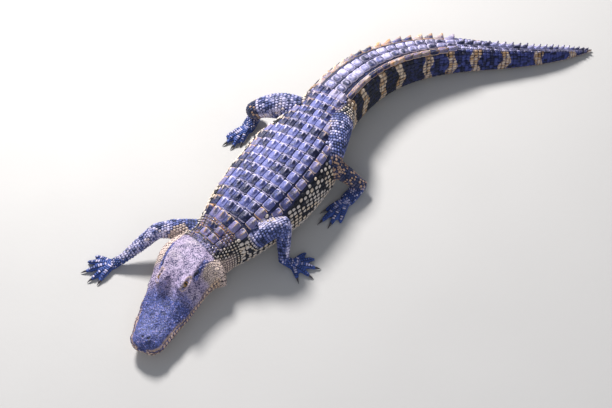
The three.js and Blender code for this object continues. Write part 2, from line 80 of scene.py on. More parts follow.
class Track:
    """A smooth curve through a table that never overshoots it."""

    def __init__(self, points: Pairs) -> None:
        """Works out the slopes.

        Args:
            points: pairs of place and value, in order of place.
        """
        table = np.array(points, float)
        self.x, self.y = table[:, 0], table[:, 1]
        slope = np.diff(self.y) / np.diff(self.x)
        tangent = np.empty(len(self.x))
        tangent[0], tangent[-1] = slope[0], slope[-1]
        before, after = slope[:-1], slope[1:]
        product = before * after
        total = np.where(before + after == 0, 1.0, before + after)
        tangent[1:-1] = np.where(product > 0, 2 * product / total, 0.0)
        self.tangent = tangent

    def __call__(self, place: Array | float) -> Array:
        """Reads the curve at one place or several.

        Args:
            place: where to read the curve.

        Returns:
            The value at each place.
        """
        x = np.clip(np.asarray(place, float), self.x[0], self.x[-1])
        i = np.clip(np.searchsorted(self.x, x, side="right") - 1, 0, len(self.x) - 2)
        h = self.x[i + 1] - self.x[i]
        t = (x - self.x[i]) / h
        t2, t3 = t * t, t * t * t
        return (
            (2 * t3 - 3 * t2 + 1) * self.y[i]
            + (t3 - 2 * t2 + t) * h * self.tangent[i]
            + (3 * t2 - 2 * t3) * self.y[i + 1]
            + (t3 - t2) * h * self.tangent[i + 1]
        )


class Sections(dict[str, Track]):
    """One curve for each measure of a section along the body."""

    def __init__(self, names: str, rows: Sequence[Sequence[float]]) -> None:
        """Reads the curves from a table whose first column is the place and whose others are named."""
        super().__init__({name: Track([(row[0], row[i]) for row in rows]) for i, name in enumerate(names.split(), 1)})

    def at(self, names: str, place: float) -> list[float]:
        """The named measures at one place."""
        return [float(self[name](place)) for name in names.split()]


def smoothstep(low: float, high: float, value: Array) -> Array:
    """A soft step from 0 at low to 1 at high."""
    t = np.clip((value - low) / (high - low), 0, 1)
    return t * t * (3 - 2 * t)


def window(span: Sequence[float], value: Array) -> Array:
    """1 inside a span and 0 outside it, for a span of the rise's start and end and the fall's."""
    return smoothstep(span[0], span[1], value) * (1 - smoothstep(span[2], span[3], value))


def bell(value: Array, centre: Array | float, width: float) -> Array:
    """A bell curve, 1 at its centre."""
    return np.exp(-(((value - centre) / width) ** 2))


def limb_radius(radii: Sequence[float], share: Array) -> Array:
    """A limb part's half width at shares of its length, from those at its start, middle and end."""
    return Track(list(zip((0, 0.5, 1), radii)))(share)


@dataclass
class BodyLine:
    """The line of the back on the floor, from the tip of the snout to the tip of the tail, in millimetres."""

    total: int = 1508
    mark: int = 526
    step: int = 2
    batch: int = 8000
    heading: Track = field(
        default_factory=lambda: Track(
            [
                (0, 99), (196, 99), (262, 74), (314, 76), (370, 84), (406, 84), (526, 90.5), (626, 93.5), (706, 94),
                (806, 87), (906, 73), (1006, 56), (1106, 42), (1206, 34), (1306, 36.5), (1406, 44), (1508, 52),
            ]
        )
    )

    def __post_init__(self) -> None:
        """Adds up the heading into points on the floor."""
        middles = np.arange(0, self.total, self.step) + self.step / 2
        angle = np.radians(self.heading(middles))
        moves = np.stack([np.cos(angle), np.sin(angle)], 1) * self.step
        points = np.vstack([[0, 0], np.cumsum(moves, 0)])
        self.points = points - points[self.mark // self.step]
        self.places = np.arange(len(points)) * self.step

    def ahead(self, s: Array) -> Array:
        """The level directions toward the tail at places along the body."""
        angle = np.radians(self.heading(s))
        return np.stack([np.cos(angle), np.sin(angle), np.zeros(len(s))], 1)

    def place(self, s: Array, side: Array, z: Array) -> Array:
        """Points given by their places on the body.

        Args:
            s: places along the body.
            side: how far to its left.
            z: how high above the floor.

        Returns:
            The points.
        """
        s, side, z = np.broadcast_arrays(np.asarray(s, float), side, z)
        angle = np.radians(self.heading(s))
        x = np.interp(s, self.places, self.points[:, 0]) + side * np.sin(angle)
        y = np.interp(s, self.places, self.points[:, 1]) - side * np.cos(angle)
        return np.stack([x, y, z], -1)

    def locate(self, points: Array) -> tuple[Array, Array]:
        """How far along the body, and how far to its left, points lie.

        Args:
            points: positions in millimetres.

        Returns:
            The two distances of each point.
        """
        along, side = np.empty(len(points)), np.empty(len(points))
        places, spots = self.places[::2], self.points[::2]
        ahead = self.ahead(places)[:, :2]
        for start in range(0, len(points), self.batch):
            chosen = slice(start, start + self.batch)
            part = points[chosen, :2]
            nearest = ((part[:, None] - spots[None]) ** 2).sum(-1).argmin(1)
            offset, way = part - spots[nearest], ahead[nearest]
            along[chosen] = places[nearest] + (offset * way).sum(1)
            side[chosen] = offset[:, 0] * way[:, 1] - offset[:, 1] * way[:, 0]
        return along, side


LINE = BodyLine()


def mesh_object(name: str, points: Array, faces: Sequence[Sequence[int]]) -> Thing:
    """Makes an object from points in millimetres.

    Args:
        name: the object's name.
        points: positions in millimetres.
        faces: the point numbers of each face.

    Returns:
        The object, linked to the scene.
    """
    mesh = bpy.data.meshes.new(name)
    mesh.from_pydata((np.asarray(points) * MM).tolist(), [], [list(f) for f in faces])
    mesh.validate()
    made = bpy.data.objects.new(name, mesh)
    bpy.context.scene.collection.objects.link(made)
    return made


def circle(count: int) -> Array:
    """Evenly spaced angles round a circle."""
    return np.linspace(0, 2 * math.pi, count, endpoint=False)


@dataclass
class Shell:
    """Closed surfaces gathered as points and faces."""

    points: list[Array] = field(default_factory=list)
    faces: list[list[int]] = field(default_factory=list)
    count: int = 0

    def loft(self, rings: Array) -> None:
        """Adds a closed loft.

        Args:
            rings: sections, each with the same number of points around.
        """
        total, around = rings.shape[:2]
        start = self.count
        self.points.append(rings.reshape(-1, 3))
        for first in range(start, start + (total - 1) * around, around):
            for i in range(around):
                a, b = first + i, first + (i + 1) % around
                self.faces.append([a, b, b + around, a + around])
        self.faces.append([start + i for i in range(around)][::-1])
        self.faces.append([start + (total - 1) * around + i for i in range(around)])
        self.count += total * around

    def ball(self, centre: Array, radii: Sequence[float], turn: float = 0.0) -> None:
        """Adds an ellipsoid turned about the vertical.

        Args:
            centre: its centre.
            radii: across, along and up.
            turn: the turn in radians.
        """
        pole = 0.12
        polar = np.linspace(pole, math.pi - pole, 14)
        p, a = np.meshgrid(polar, circle(24), indexing="ij")
        x, y, z = np.sin(p) * np.cos(a) * radii[0], np.sin(p) * np.sin(a) * radii[1], np.cos(p) * radii[2]
        c, s = math.cos(turn), math.sin(turn)
        turned = np.stack([x * c - y * s, x * s + y * c, z], -1)
        self.loft(turned[::-1] + np.asarray(centre))

    def build(self, name: str) -> Thing:
        """Makes the object, with faces outward."""
        return facing_out(mesh_object(name, np.vstack(self.points), self.faces))


@contextmanager
def opened(mesh: Mesh) -> Iterator[bmesh.types.BMesh]:
    """Opens a mesh for editing and writes it back at the end.

    Args:
        mesh: the mesh.

    Yields:
        Its editable form.
    """
    work = bmesh.new()
    work.from_mesh(mesh)
    yield work
    work.to_mesh(mesh)
    work.free()


def facing_out(made: Thing) -> Thing:
    """Turns every face of a closed mesh outward.

    Args:
        made: the object.

    Returns:
        The same object.
    """
    with opened(made.data) as work:
        bmesh.ops.recalc_face_normals(work, faces=work.faces)
    return made


def rounded(ring: Array, count: int) -> Array:
    """Resamples a closed section with a smooth curve through its points.

    Args:
        ring: the section's corners.
        count: how many points to return.

    Returns:
        The new points.
    """
    n = len(ring)
    spots = np.linspace(0, n, count, endpoint=False)
    i = spots.astype(int)
    t = (spots - i)[:, None]
    a, b, c, d = ring[(i - 1) % n], ring[i % n], ring[(i + 1) % n], ring[(i + 2) % n]
    return 0.5 * (2 * b + (c - a) * t + (2 * a - 5 * b + 4 * c - d) * t**2 + (3 * b - a - 3 * c + d) * t**3)


@dataclass
class Trunk:
    """Neck, trunk and tail as one loft, in millimetres."""

    start: float = 246
    neck_end: float = 312
    row_pitch: float = 27
    row_count: int = 17
    whorl_pitch: float = 25
    double_whorls: int = 15
    belly_sink: float = 4
    inset: float = 2.4
    around: int = 56
    ring_pitch: float = 7.0
    sections: Sections = field(
        default_factory=lambda: Sections(
            "width back widest upper lower",
            [
                (252, 64, 86, 42, 2.2, 2.4), (291, 63, 94, 44, 2.3, 2.4), (312, 67, 102, 46, 2.5, 2.4),
                (351, 78, 115, 50, 2.7, 2.6), (406, 91, 124, 53, 2.6, 2.7), (486, 103, 130, 54, 2.6, 2.7),
                (566, 105, 130, 54, 2.6, 2.7), (636, 89, 127, 52, 2.6, 2.7), (706, 69, 121, 48, 2.7, 2.6),
                (771, 64, 115, 46, 3.2, 2.5), (886, 59, 105, 43, 3.6, 2.5), (1016, 49, 93, 38, 3.4, 2.5),
                (1149, 37, 78, 31, 2.8, 2.4), (1266, 27, 60, 24, 2.3, 2.3), (1386, 17, 40, 16, 2.2, 2.2),
                (1508, 3, 10, 4, 2, 2),
            ],
        )
    )

    @property
    def trunk_end(self) -> float:
        """Where the trunk's scutes end and the tail's begin."""
        return self.neck_end + self.row_pitch * self.row_count

    @property
    def crest_merge(self) -> float:
        """Where the tail's two crests become one."""
        return self.trunk_end + self.whorl_pitch * self.double_whorls

    def surface(self, s: Array, angle: Array, grow: float = 0.0) -> Array:
        """Points of the body's surface.

        Args:
            s: places along the body.
            angle: angles around it, 0 at the left side and a quarter turn at the back.
            grow: how far out from the surface.

        Returns:
            The positions.
        """
        s, angle = np.broadcast_arrays(np.asarray(s, float), np.asarray(angle, float))
        c, v = np.cos(angle), np.sin(angle)
        width, back, widest = (self.sections[name](s) for name in ("width", "back", "widest"))
        power = 2 / np.where(v >= 0, self.sections["upper"](s), self.sections["lower"](s))
        side = (width + grow) * np.sign(c) * np.abs(c) ** power
        rise = np.where(v >= 0, back + grow - widest, widest + self.belly_sink)
        z = np.maximum(0, widest + rise * np.sign(v) * np.abs(v) ** power)
        return LINE.place(s, side, z)

    def add_to(self, shell: Shell) -> None:
        """Adds the loft to the skin's shell.

        Args:
            shell: the shell.
        """
        places = np.append(np.arange(self.start, LINE.total - 4, self.ring_pitch), LINE.total - 2)
        angles = (np.arange(self.around) + 0.5) / self.around * 2 * math.pi
        shell.loft(self.surface(places[:, None], angles[None], -self.inset))


@dataclass
class Head:
    """The head, with its mouth closed, in millimetres."""

    end: float = 266
    jaw_inset: float = 2.6
    sections: Sections = field(
        default_factory=lambda: Sections(
            "lips top edge edge_top mouth chin",
            [
                (0, 14, 38, 9, 37.5, 27, 19), (7, 27, 44, 17, 43, 26, 14), (20, 35, 47, 23, 45, 26, 11),
                (40, 40, 47, 26, 45, 28, 10), (67, 45, 49, 28, 47, 29, 10), (100, 51, 55, 29, 54, 27, 9),
                (125, 55, 63, 29, 66, 27, 8), (150, 58, 74, 31, 78, 30, 7), (174, 62, 84, 33, 86, 34, 6),
                (206, 69, 89, 35, 89, 40, 5), (226, 73, 88, 36, 87, 44, 4), (244, 73, 85, 37, 80, 46, 4),
                (262, 65, 85, 38, 77, 47, 4),
            ],
        )
    )
    eye_s: float = 148
    eye_side: float = 23
    eye_height: float = 76
    eye_bulge: float = 15
    eye_tilt: float = 0.8
    slit_length: float = 15.5
    slit_width: float = 5.2
    lid_depth: tuple[float, float] = (3, 22)
    edge_flare: float = 1.12
    middle: float = 45
    nostril: tuple[float, float, float] = (20, 6.5, 50)
    ear: tuple[float, float, float, float] = (172, 216, 37, 84)
    cheek: tuple[float, float, float, float] = (240, 32, 0.13, 0.23)
    wavy: tuple[float, float] = (12, 190)
    around: int = 48
    ring_pitch: float = 5.0

    def wave(self, s: float) -> float:
        """The wavy edge of the lips."""
        return 1.1 * math.sin(s / 7.2) if self.wavy[0] < s < self.wavy[1] else 0.0

    def swell(self, s: float, lower: bool = False) -> tuple[float, float]:
        """How much wider the left and the right cheek are at s, and the jaw's below them.

        Args:
            s: the place.
            lower: whether to give the jaw's.

        Returns:
            The shares of the left and the right.
        """
        place, spread, upper_share, lower_share = self.cheek
        share = lower_share if lower else upper_share
        bulge = share * float(bell(s, place, spread))
        return 1 + bulge, 1 - 0.4 * bulge

    def ring(
        self, s: float, half: Sequence[tuple[float, float]], top: float, floor: float, lower: bool = False
    ) -> Array:
        """One closed section.

        Args:
            s: its place.
            half: the corners of the left half, from the top down.
            top: the height of the middle above.
            floor: the height of the middle below.
            lower: whether it is the jaw's.

        Returns:
            The section's points.
        """
        left, right = self.swell(s, lower)
        lefts, rights = [(x * left, z) for x, z in half], [(-x * right, z) for x, z in reversed(half)]
        sides, heights = np.array([(0, top), *lefts, (0, floor), *rights]).T
        return rounded(LINE.place(np.full(len(sides), s), sides, heights), self.around)

    def upper_ring(self, s: float) -> Array:
        """The upper head at s.

        Args:
            s: its place.

        Returns:
            The section's points.
        """
        lips, top, edge, edge_top, mouth = self.sections.at("lips top edge edge_top mouth", s)
        lips, edge = lips + self.wave(s) - 1, edge - 1
        cheek = edge_top * 0.42 + mouth * 0.58
        half = [
            (edge * 0.5, top + (edge_top - top) * 0.35), (edge * 0.92, edge_top),
            (edge * self.edge_flare + 1, edge_top - 3),
            ((edge + lips) / 2 + 1, (edge_top + cheek) / 2), (lips * 0.97, cheek), (lips, mouth + 4),
            (lips - 1.2, mouth),
        ]
        return self.ring(s, half, top, mouth - 2)

    def jaw_ring(self, s: float) -> Array:
        """The lower jaw and throat at s.

        Args:
            s: its place.

        Returns:
            The section's points.
        """
        lips, mouth, chin = self.sections.at("lips mouth chin", s)
        wide = max(lips - self.jaw_inset, 6)
        rise = mouth - chin
        half = [
            (wide - 1.5, mouth + 1), (wide, mouth - 2), (wide * 0.97, chin + rise * 0.5),
            (wide * 0.8, chin + rise * 0.16), (wide * 0.5, chin),
        ]
        return self.ring(s, half, mouth + 3, chin, lower=True)

    def eye_centre(self, hand: int) -> Array:
        """The centre of one eye, hand +1 for the left."""
        return LINE.place(self.eye_s, self.eye_side * hand, self.eye_height)

    def eye_axes(self, hand: int) -> tuple[Array, Array, Array]:
        """Outward, along the head and across the slit, at one eye.

        Args:
            hand: +1 for the left eye, -1 for the right.

        Returns:
            The three directions.
        """
        (along,) = LINE.ahead(np.array([self.eye_s]))
        left = np.cross(along, UPRIGHT) * hand
        out = left * math.cos(self.eye_tilt) + UPRIGHT * math.sin(self.eye_tilt)
        return out, along, np.cross(out, along)

    def round_eye(self, points: Array, hand: int) -> tuple[Array, Array]:
        """Where points lie round one eye's slit.

        Args:
            points: positions in millimetres.
            hand: +1 for the left eye, -1 for the right.

        Returns:
            How far each is from the slit's middle, 1 at its edge, and whether it is on the lids.
        """
        out, along, across = self.eye_axes(hand)
        offset = points - self.eye_centre(hand)
        rise = offset @ out
        ring = np.hypot(offset @ along / self.slit_length, offset @ across / self.slit_width)
        return ring, (rise > self.lid_depth[0]) & (rise < self.lid_depth[1])

    def add_to(self, shell: Shell) -> None:
        """Adds the head to the skin's shell.

        Args:
            shell: the shell.
        """
        tips = (self.upper_ring, (0.6, 12, 7), 16), (self.jaw_ring, (3, 14, 6), 18)
        for ring, tip, start in tips:
            places = [*np.linspace(*tip), *np.arange(start, self.end, self.ring_pitch)]
            shell.loft(np.stack([ring(s) for s in places]))
        turn = math.radians(float(LINE.heading(self.eye_s)) - 90)
        s, side, z = self.nostril
        shell.ball(LINE.place(s + 2, 0, z - 4), (17, 15, 5.6), turn)
        bulge = (self.eye_bulge - 1.5, self.eye_bulge + 3.5, self.eye_bulge - 3.5)
        for hand in HANDS:
            shell.ball(self.eye_centre(hand) + UPRIGHT, bulge, turn)
            shell.ball(LINE.place(s, side * hand, z - 1.5), (5.5, 6.5, 4), turn)


class Side(Enum):
    """The two sides of the animal."""

    LEFT = "left"
    RIGHT = "right"


class LimbKind(Enum):
    """Fore and hind limbs, with the names of their solids."""

    ARM = ("upper_arm", "forearm", "hand")
    LEG = ("thigh", "shank", "foot")


@dataclass
class Limb:
    """One limb: its joints, its toes and their sizes, in millimetres."""

    side: Side
    kind: LimbKind
    root: tuple[float, float, float]
    middle: tuple[float, float, float]
    bend: tuple[float, float, float]
    end: tuple[float, float, float]
    palm: float
    toes: list[tuple[float, float]]
    flat: float = 0.92
    web_heights: tuple[float, float] = (0.3, 5.0)

    @property
    def is_arm(self) -> bool:
        """Whether this is a fore limb."""
        return self.kind is LimbKind.ARM

    @property
    def upper_radii(self) -> list[float]:
        """Half widths of the upper part."""
        return [24, 23, 17] if self.is_arm else [35, 31, 22]

    @property
    def lower_radii(self) -> list[float]:
        """Half widths of the lower part."""
        return [17, 15.5, 11] if self.is_arm else [22, 20, 14]

    @property
    def web_reach(self) -> float:
        """How far out the web goes, as a share of the toes."""
        return 0.36 if self.is_arm else 0.68

    @property
    def toe_size(self) -> tuple[float, float, float, float]:
        """Toe root, toe tip, height of the foot and half width of the sole."""
        return (6.4, 3.6, 6, 13) if self.is_arm else (7.6, 3.8, 7, 17)

    def parts(self) -> list[tuple[list[Array], list[float], float]]:
        """The upper and lower part: points, half widths and flatness of each.

        Returns:
            Three points, three half widths and the height as a share of the width, for each part.
        """
        root, middle, bend, end = (np.array(p, float) for p in (self.root, self.middle, self.bend, self.end))
        return [
            ([root, middle, bend], self.upper_radii, self.flat),
            ([bend, bend + (end - bend) * 0.4, end], self.lower_radii, self.flat),
        ]

    def toe_lines(self) -> list[tuple[Array, Array, Array]]:
        """Root, knuckle and tip of each toe.

        Returns:
            The three points of each toe.
        """
        _, tip_r, height, sole = self.toe_size
        hub = self.hub()
        lines = []
        for i, (angle, length) in enumerate(self.toes):
            way = bearing(angle)
            spread = (i - (len(self.toes) - 1) / 2) / len(self.toes)
            root = hub + way * sole * 0.35
            tip = root + way * length
            knuckle = root + (tip - root) * 0.45
            knuckle[2] = height + 1.5 - abs(spread)
            root[2], tip[2] = height - 1, tip_r * 0.9
            lines.append((root, knuckle, tip))
        return lines

    def hub(self) -> Array:
        """The middle of the palm or sole.

        Returns:
            The point.
        """
        aim = self.toes[2 if self.is_arm else 1][0]
        hub = np.array(self.end, float) + bearing(aim) * self.palm
        hub[2] = self.toe_size[2]
        return hub

    def add_to(self, shell: Shell) -> None:
        """Adds the limb to the skin's shell.

        Args:
            shell: the shell.
        """
        for points, radii, flat in self.parts():
            shell.loft(tube(points, radii, flat, around=22, steps=10, inset=1.0))
        root_r, tip_r, _, sole = self.toe_size
        wrist, hub = np.array(self.end, float), self.hub()
        palm = [wrist, (wrist + hub) / 2, hub]
        shell.loft(tube(palm, [sole * 0.82, sole, sole * 1.02], 0.62, around=20, steps=6, inset=0.4))
        lines = self.toe_lines()
        for line in lines:
            shell.loft(tube(line, [root_r, root_r * 0.86, tip_r], 1.0, around=12, steps=8, inset=-0.9))
        reach = self.web_reach
        for (root_a, _, tip_a), (root_b, _, tip_b) in zip(lines, lines[1:]):
            root, tip = (root_a + root_b) / 2, (tip_a + tip_b) / 2
            hem = root + (tip - root) * reach * 0.8
            fan = np.array([hub, root_a + (tip_a - root_a) * reach, hem, root_b + (tip_b - root_b) * reach])
            shell.loft(np.stack([np.column_stack([fan[:, :2], np.full(4, z)]) for z in self.web_heights]))


def bearing(degrees: float) -> Array:
    """A level direction, in degrees from +X."""
    return np.array([math.cos(math.radians(degrees)), math.sin(math.radians(degrees)), 0.0])


def curve_through(points: Sequence[Array], t: Array) -> Array:
    """A smooth curve through three points, at shares t of its length.

    Args:
        points: the three points.
        t: the shares.

    Returns:
        The points of the curve.
    """
    a, b, c = points
    first, second = np.sqrt(np.linalg.norm(b - a)), np.sqrt(np.linalg.norm(c - b))
    split = first / (first + second)
    t = np.asarray(t)[:, None]
    wa = (t - split) * (t - 1) / split
    wb = t * (t - 1) / (split * (split - 1))
    wc = t * (t - split) / (1 - split)
    return a * wa + b * wb + c * wc


def frames_along(points: Sequence[Array], t: Array) -> tuple[Array, Array, Array, Array]:
    """Centres, directions and the two cross directions along a limb's line.

    Args:
        points: the three points of the line.
        t: shares of its length.

    Returns:
        Centres, tangents, level cross directions and raised cross directions.
    """
    centres = curve_through(points, t)
    ahead = curve_through(points, t + 1e-3) - curve_through(points, t - 1e-3)
    ahead /= np.linalg.norm(ahead, axis=1, keepdims=True)
    across = np.cross(UPRIGHT, ahead[0])
    if np.linalg.norm(across) < 0.3:
        across = np.cross([1.0, 0, 0], ahead[0])
    sides = []
    for way in ahead:
        across = across - way * across.dot(way)
        across /= np.linalg.norm(across)
        sides.append(across.copy())
    sides = np.array(sides)
    return centres, ahead, sides, np.cross(ahead, sides)


def tube(
    points: Sequence[Array], radii: Sequence[float], flat: float, around: int, steps: int, inset: float
) -> Array:
    """Sections of a limb part with rounded ends.

    Args:
        points: the three points of its line.
        radii: half widths at the start, middle and end.
        flat: height as a share of width.
        around: points in a section.
        steps: sections between the ends.
        inset: how far inside the solid the skin lies.

    Returns:
        The sections.
    """
    t = np.linspace(0, 1, steps + 1)
    centres, ahead, sides, ups = frames_along(points, t)
    r = limb_radius(radii, t) - inset
    caps = [(0.35, 0.94), (0.6, 0.8), (0.85, 0.5)]
    spots = [(0, shrink, -out) for shrink, out in caps]
    spots += [(i, 1.0, 0.0) for i in range(len(t))]
    spots += [(len(t) - 1, shrink, out) for shrink, out in reversed(caps)]
    angle = circle(around)[:, None]
    rings = []
    for i, shrink, out in spots:
        size = r[i] * shrink
        ring = centres[i] + ahead[i] * r[i] * out
        ring = ring + sides[i] * size * np.cos(angle) + ups[i] * size * flat * np.sin(angle)
        ring[:, 2] = np.maximum(ring[:, 2], 0.2)
        rings.append(ring)
    return np.stack(rings)


LIMBS = [
    Limb(Side.LEFT, LimbKind.ARM, (44, -196, 62), (70, -166, 86), (90, -136, 88), (110, -172, 17), 20,
         [(-44, 32), (-8, 40), (22, 44), (50, 42), (80, 36)]),
    Limb(Side.RIGHT, LimbKind.ARM, (-62, -210, 48), (-106, -241, 57), (-146, -270, 58), (-186, -346, 17), 22,
         [(272, 44), (253, 52), (228, 54), (204, 50), (182, 40)]),
    Limb(Side.LEFT, LimbKind.LEG, (30, 205, 80), (60, 132, 91), (83, 72, 76), (150, 94, 22), 44,
         [(240, 48), (256, 74), (271, 68), (286, 56)]),
    Limb(Side.RIGHT, LimbKind.LEG, (-52, 176, 76), (-104, 154, 90), (-152, 128, 74), (-172, 166, 22), 40,
         [(284, 42), (270, 58), (254, 60), (240, 50)]),
]
TRUNK = Trunk()
HEAD = Head()


# ---- Markings, the same for skin and coat ----


@dataclass
class Markings:
    """Where each colour of the hide lies, worked out from the place on the body."""

    bands: tuple[float, ...] = (760, 821, 905, 975, 1063, 1131, 1194, 1267, 1355, 1440, 1498)
    shield: tuple[tuple[float, float], ...] = (
        (262, 44), (312, 52), (330, 64), (390, 66), (402, 90), (602, 90), (614, 66), (686, 62), (696, 44), (771, 44),
        (886, 41), (1016, 34), (1100, 27), (1150, 17), (1500, 2),
    )
    band_half: float = 13
    wobble: float = 5

    def limb_share(self, points: Array, clear: Array) -> tuple[Array, Array, Array]:
        """How much of each point belongs to a limb, to a shank and to a foot, 0 to 1.

        Args:
            points: positions in millimetres.
            clear: whether each point is beside the trunk.

        Returns:
            The three shares.
        """
        share, shank, foot = (np.zeros(len(points)) for _ in range(3))
        t = np.linspace(0, 1, 24)
        for limb in LIMBS:
            for i, (spots, radii, _) in enumerate(limb.parts()):
                centres = curve_through(spots, t)
                reach = limb_radius(radii, t)
                gap = np.linalg.norm(points[:, None] - centres[None], axis=2) - reach[None]
                ends = np.where(t > (0.3 if i == 0 else 0.0), 0.0, 20.0)
                part = 1 - smoothstep(2.5, 7, (gap + ends[None]).min(1))
                share = np.maximum(share, part)
                if i == 1 and not limb.is_arm:
                    shank = np.maximum(shank, part)
            gap = np.linalg.norm(points[:, :2] - limb.hub()[None, :2], axis=1)
            paw = (1 - smoothstep(80, 95, gap)) * clear * (1 - smoothstep(19, 30, points[:, 2]))
            foot = np.maximum(foot, paw)
        return np.maximum(share, foot), shank, foot

    def masks(self, points: Array) -> dict[str, Array]:
        """The share of each marking at each point.

        Args:
            points: positions in millimetres.

        Returns:
            Each marking's name with its shares, 0 to 1.
        """
        s, side = LINE.locate(points)
        z = points[:, 2]
        jowls = HEAD.sections["lips"](s) * np.where(side > 0, 1.25, 1.0) + 5
        width = np.where(s < 285, jowls, TRUNK.sections["width"](s) + 2)
        clear = np.abs(side) > width
        limb, shank, foot = self.limb_share(points, clear)
        limb = np.where((s > 268) | clear, limb, 0.0)
        limb = np.where(clear & (np.abs(side) > width + 16), 1.0, limb)
        head = (1 - smoothstep(246, 262, s)) * (1 - limb)
        shield = Track(self.shield)(s)
        inset = 7 * (1 - smoothstep(690, 730, s))
        back = 1 - smoothstep(shield - inset, shield + 4 - inset, np.abs(side))
        back *= smoothstep(0.35, 0.6, z / TRUNK.sections["back"](s)) * (1 - head)
        mouth = HEAD.sections["mouth"](s)
        jaw = (1 - smoothstep(mouth - 2, mouth + 1, z)) * head
        table = np.abs(side) - HEAD.sections["edge"](s) * HEAD.edge_flare
        low = np.maximum(1 - smoothstep(56, 70, z), smoothstep(5, 11, table) * (s < 268))
        jowl = window((168, 200, 284, 306), s) * low * (1 - limb)
        flap = bell(table, 3, 4.5) * window((160, 172, 222, 234), s)
        lips = HEAD.sections["lips"](s)
        lip = smoothstep(lips - 9, lips - 4, np.abs(side)) * (1 - smoothstep(mouth + 8, mouth + 13, z)) * (s < 215)
        belly = (1 - smoothstep(*np.where(s > 760, [[3.0], [7.0]], [[6.0], [20.0]]), z)) * (1 - limb) * (s > 250)
        snout = np.maximum(1 - smoothstep(80, 178, s), flap) * head
        wobbled = s + self.wobble * np.sin(z * 0.11 + s * 0.05)
        band = np.zeros(len(points))
        for centre in self.bands:
            half = self.band_half * (1 - 0.25 * (centre - 760) / 740)
            band = np.maximum(band, 1 - smoothstep(half - 3, half + 3, np.abs(wobbled - centre)))
        tail = smoothstep(735, 775, s)
        border = smoothstep(shield - 24, shield - 10, np.abs(side)) * (1 - smoothstep(700, 760, s))
        warm = np.maximum(border, window((262, 272, 318, 345), s))
        tail_edge = TRUNK.sections["width"](s) * np.interp(s, [760, 771, 1086, 1146, 1508], [0, 0.68, 0.62, 0.3, 0])
        crest = smoothstep(tail_edge - 8, tail_edge - 3, np.abs(side)) * smoothstep(740, 790, s)
        warm = np.maximum(warm, crest * (1 - smoothstep(1110, 1150, s)))
        return {
            "back": back * (1 - limb), "band": band * tail * (1 - limb), "tail": tail * (1 - limb),
            "rear": smoothstep(960, 1160, s) * (1 - limb), "warm": np.clip(warm, 0, 1),
            "limb": limb, "shank": shank, "foot": foot,
            "face": head * (1 - np.maximum(jaw, jowl)), "snout": snout,
            "pale": np.clip(np.maximum.reduce([jaw, jowl, belly]), 0, 1),
            "lip": np.maximum(lip * head, self.lid_edges(points)),
            # dark: the painted shade of the mouth line, ear slits and nostrils
            "dark": self.creases(s, side, z) * (1 - limb),
        }

    def lid_edges(self, points: Array) -> Array:
        """The pale edges of the eyelids.

        Args:
            points: positions in millimetres.

        Returns:
            The share of each, 0 to 1.
        """
        edge = np.zeros(len(points))
        for hand in HANDS:
            ring, near = HEAD.round_eye(points, hand)
            edge = np.maximum(edge, 0.8 * bell(ring, 1.2, 0.16) * near)
        return edge

    def creases(self, s: Array, side: Array, z: Array) -> Array:
        """Mouth line, ear slits and nostrils, which get painted shade.

        Args:
            s: how far along the body each point lies.
            side: how far to its left.
            z: how high.

        Returns:
            The share of each, 0 to 1.
        """
        out = np.abs(side)
        near = np.abs(z - HEAD.sections["mouth"](s) + 0.4)
        line = (1 - smoothstep(1.2, 3.0, near)) * (out > HEAD.sections["lips"](s) * 0.85) * (s < 222)
        front, rear, ear_out, ear_z = HEAD.ear
        gap = np.hypot((out - ear_out) * 0.7, z - ear_z + 2)
        ear = (1 - smoothstep(1.5, 3.4, gap)) * (s > front) * (s < rear)
        place, nose_out, height = HEAD.nostril
        gap = np.hypot((s - place) * 0.8, out - nose_out)
        nose = (1 - smoothstep(1.5, 3.6, gap)) * (z > height - 8)
        return np.clip(line + ear + nose, 0, 1)


MARKINGS = Markings()
# The mark dark is the painted shade of the mouth line, ear slits and nostrils.
MASKS = ("back", "band", "tail", "limb", "shank", "foot", "warm", "rear", "face", "snout", "pale", "lip", "dark")
SHAPE_MARKS = ("rim", "keel", "tint")


def write_floats(mesh: Mesh, values: dict[str, Array]) -> None:
    """Stores one number a point under each name.

    Args:
        mesh: the mesh.
        values: the numbers under each name.
    """
    for name, numbers in values.items():
        layer = mesh.attributes.get(name) or mesh.attributes.new(name, "FLOAT", "POINT")
        layer.data.foreach_set("value", np.asarray(numbers, np.float32))


def read_vectors(items: bpy.types.bpy_prop_collection, name: str) -> Array:
    """Reads one vector of every item.

    Args:
        items: the items.
        name: the vector's name.

    Returns:
        A row for each.
    """
    flat = np.empty(len(items) * 3, np.float32)
    items.foreach_get(name, flat)
    return flat.reshape(-1, 3).astype(float)


def coordinates(mesh: Mesh) -> Array:
    """A mesh's points in millimetres."""
    return read_vectors(mesh.vertices, "co") / MM


def set_coordinates(mesh: Mesh, points: Array) -> None:
    """Moves a mesh's points, given in millimetres."""
    mesh.vertices.foreach_set("co", (points * MM).astype(np.float32).ravel())
    mesh.update()


def above_floor(points: Array) -> Array:
    """The same points, with none of them under the floor."""
    return np.maximum(points, LOWEST)


def surface_tree(made: Thing) -> BVHTree:
    """A search tree over a mesh, in metres."""
    with opened(made.data) as work:
        return BVHTree.FromBMesh(work)


def with_modifier(made: Thing, kind: str, **settings: object) -> None:
    """Adds one modifier and bakes it into the mesh.

    Args:
        made: the object.
        kind: the modifier's type.
        settings: its values by name.
    """
    modifier = made.modifiers.new(kind.lower(), kind)
    for name, value in settings.items():
        setattr(modifier, name, value)
    bake_modifiers(made)


def bake_modifiers(made: Thing) -> None:
    """Turns an object's modifiers into plain mesh.

    Args:
        made: the object.
    """
    graph = bpy.context.evaluated_depsgraph_get()
    mesh = bpy.data.meshes.new_from_object(made.evaluated_get(graph), preserve_all_data_layers=True, depsgraph=graph)
    made.modifiers.clear()
    old, made.data = made.data, mesh
    bpy.data.meshes.remove(old)
    mesh.name = made.name


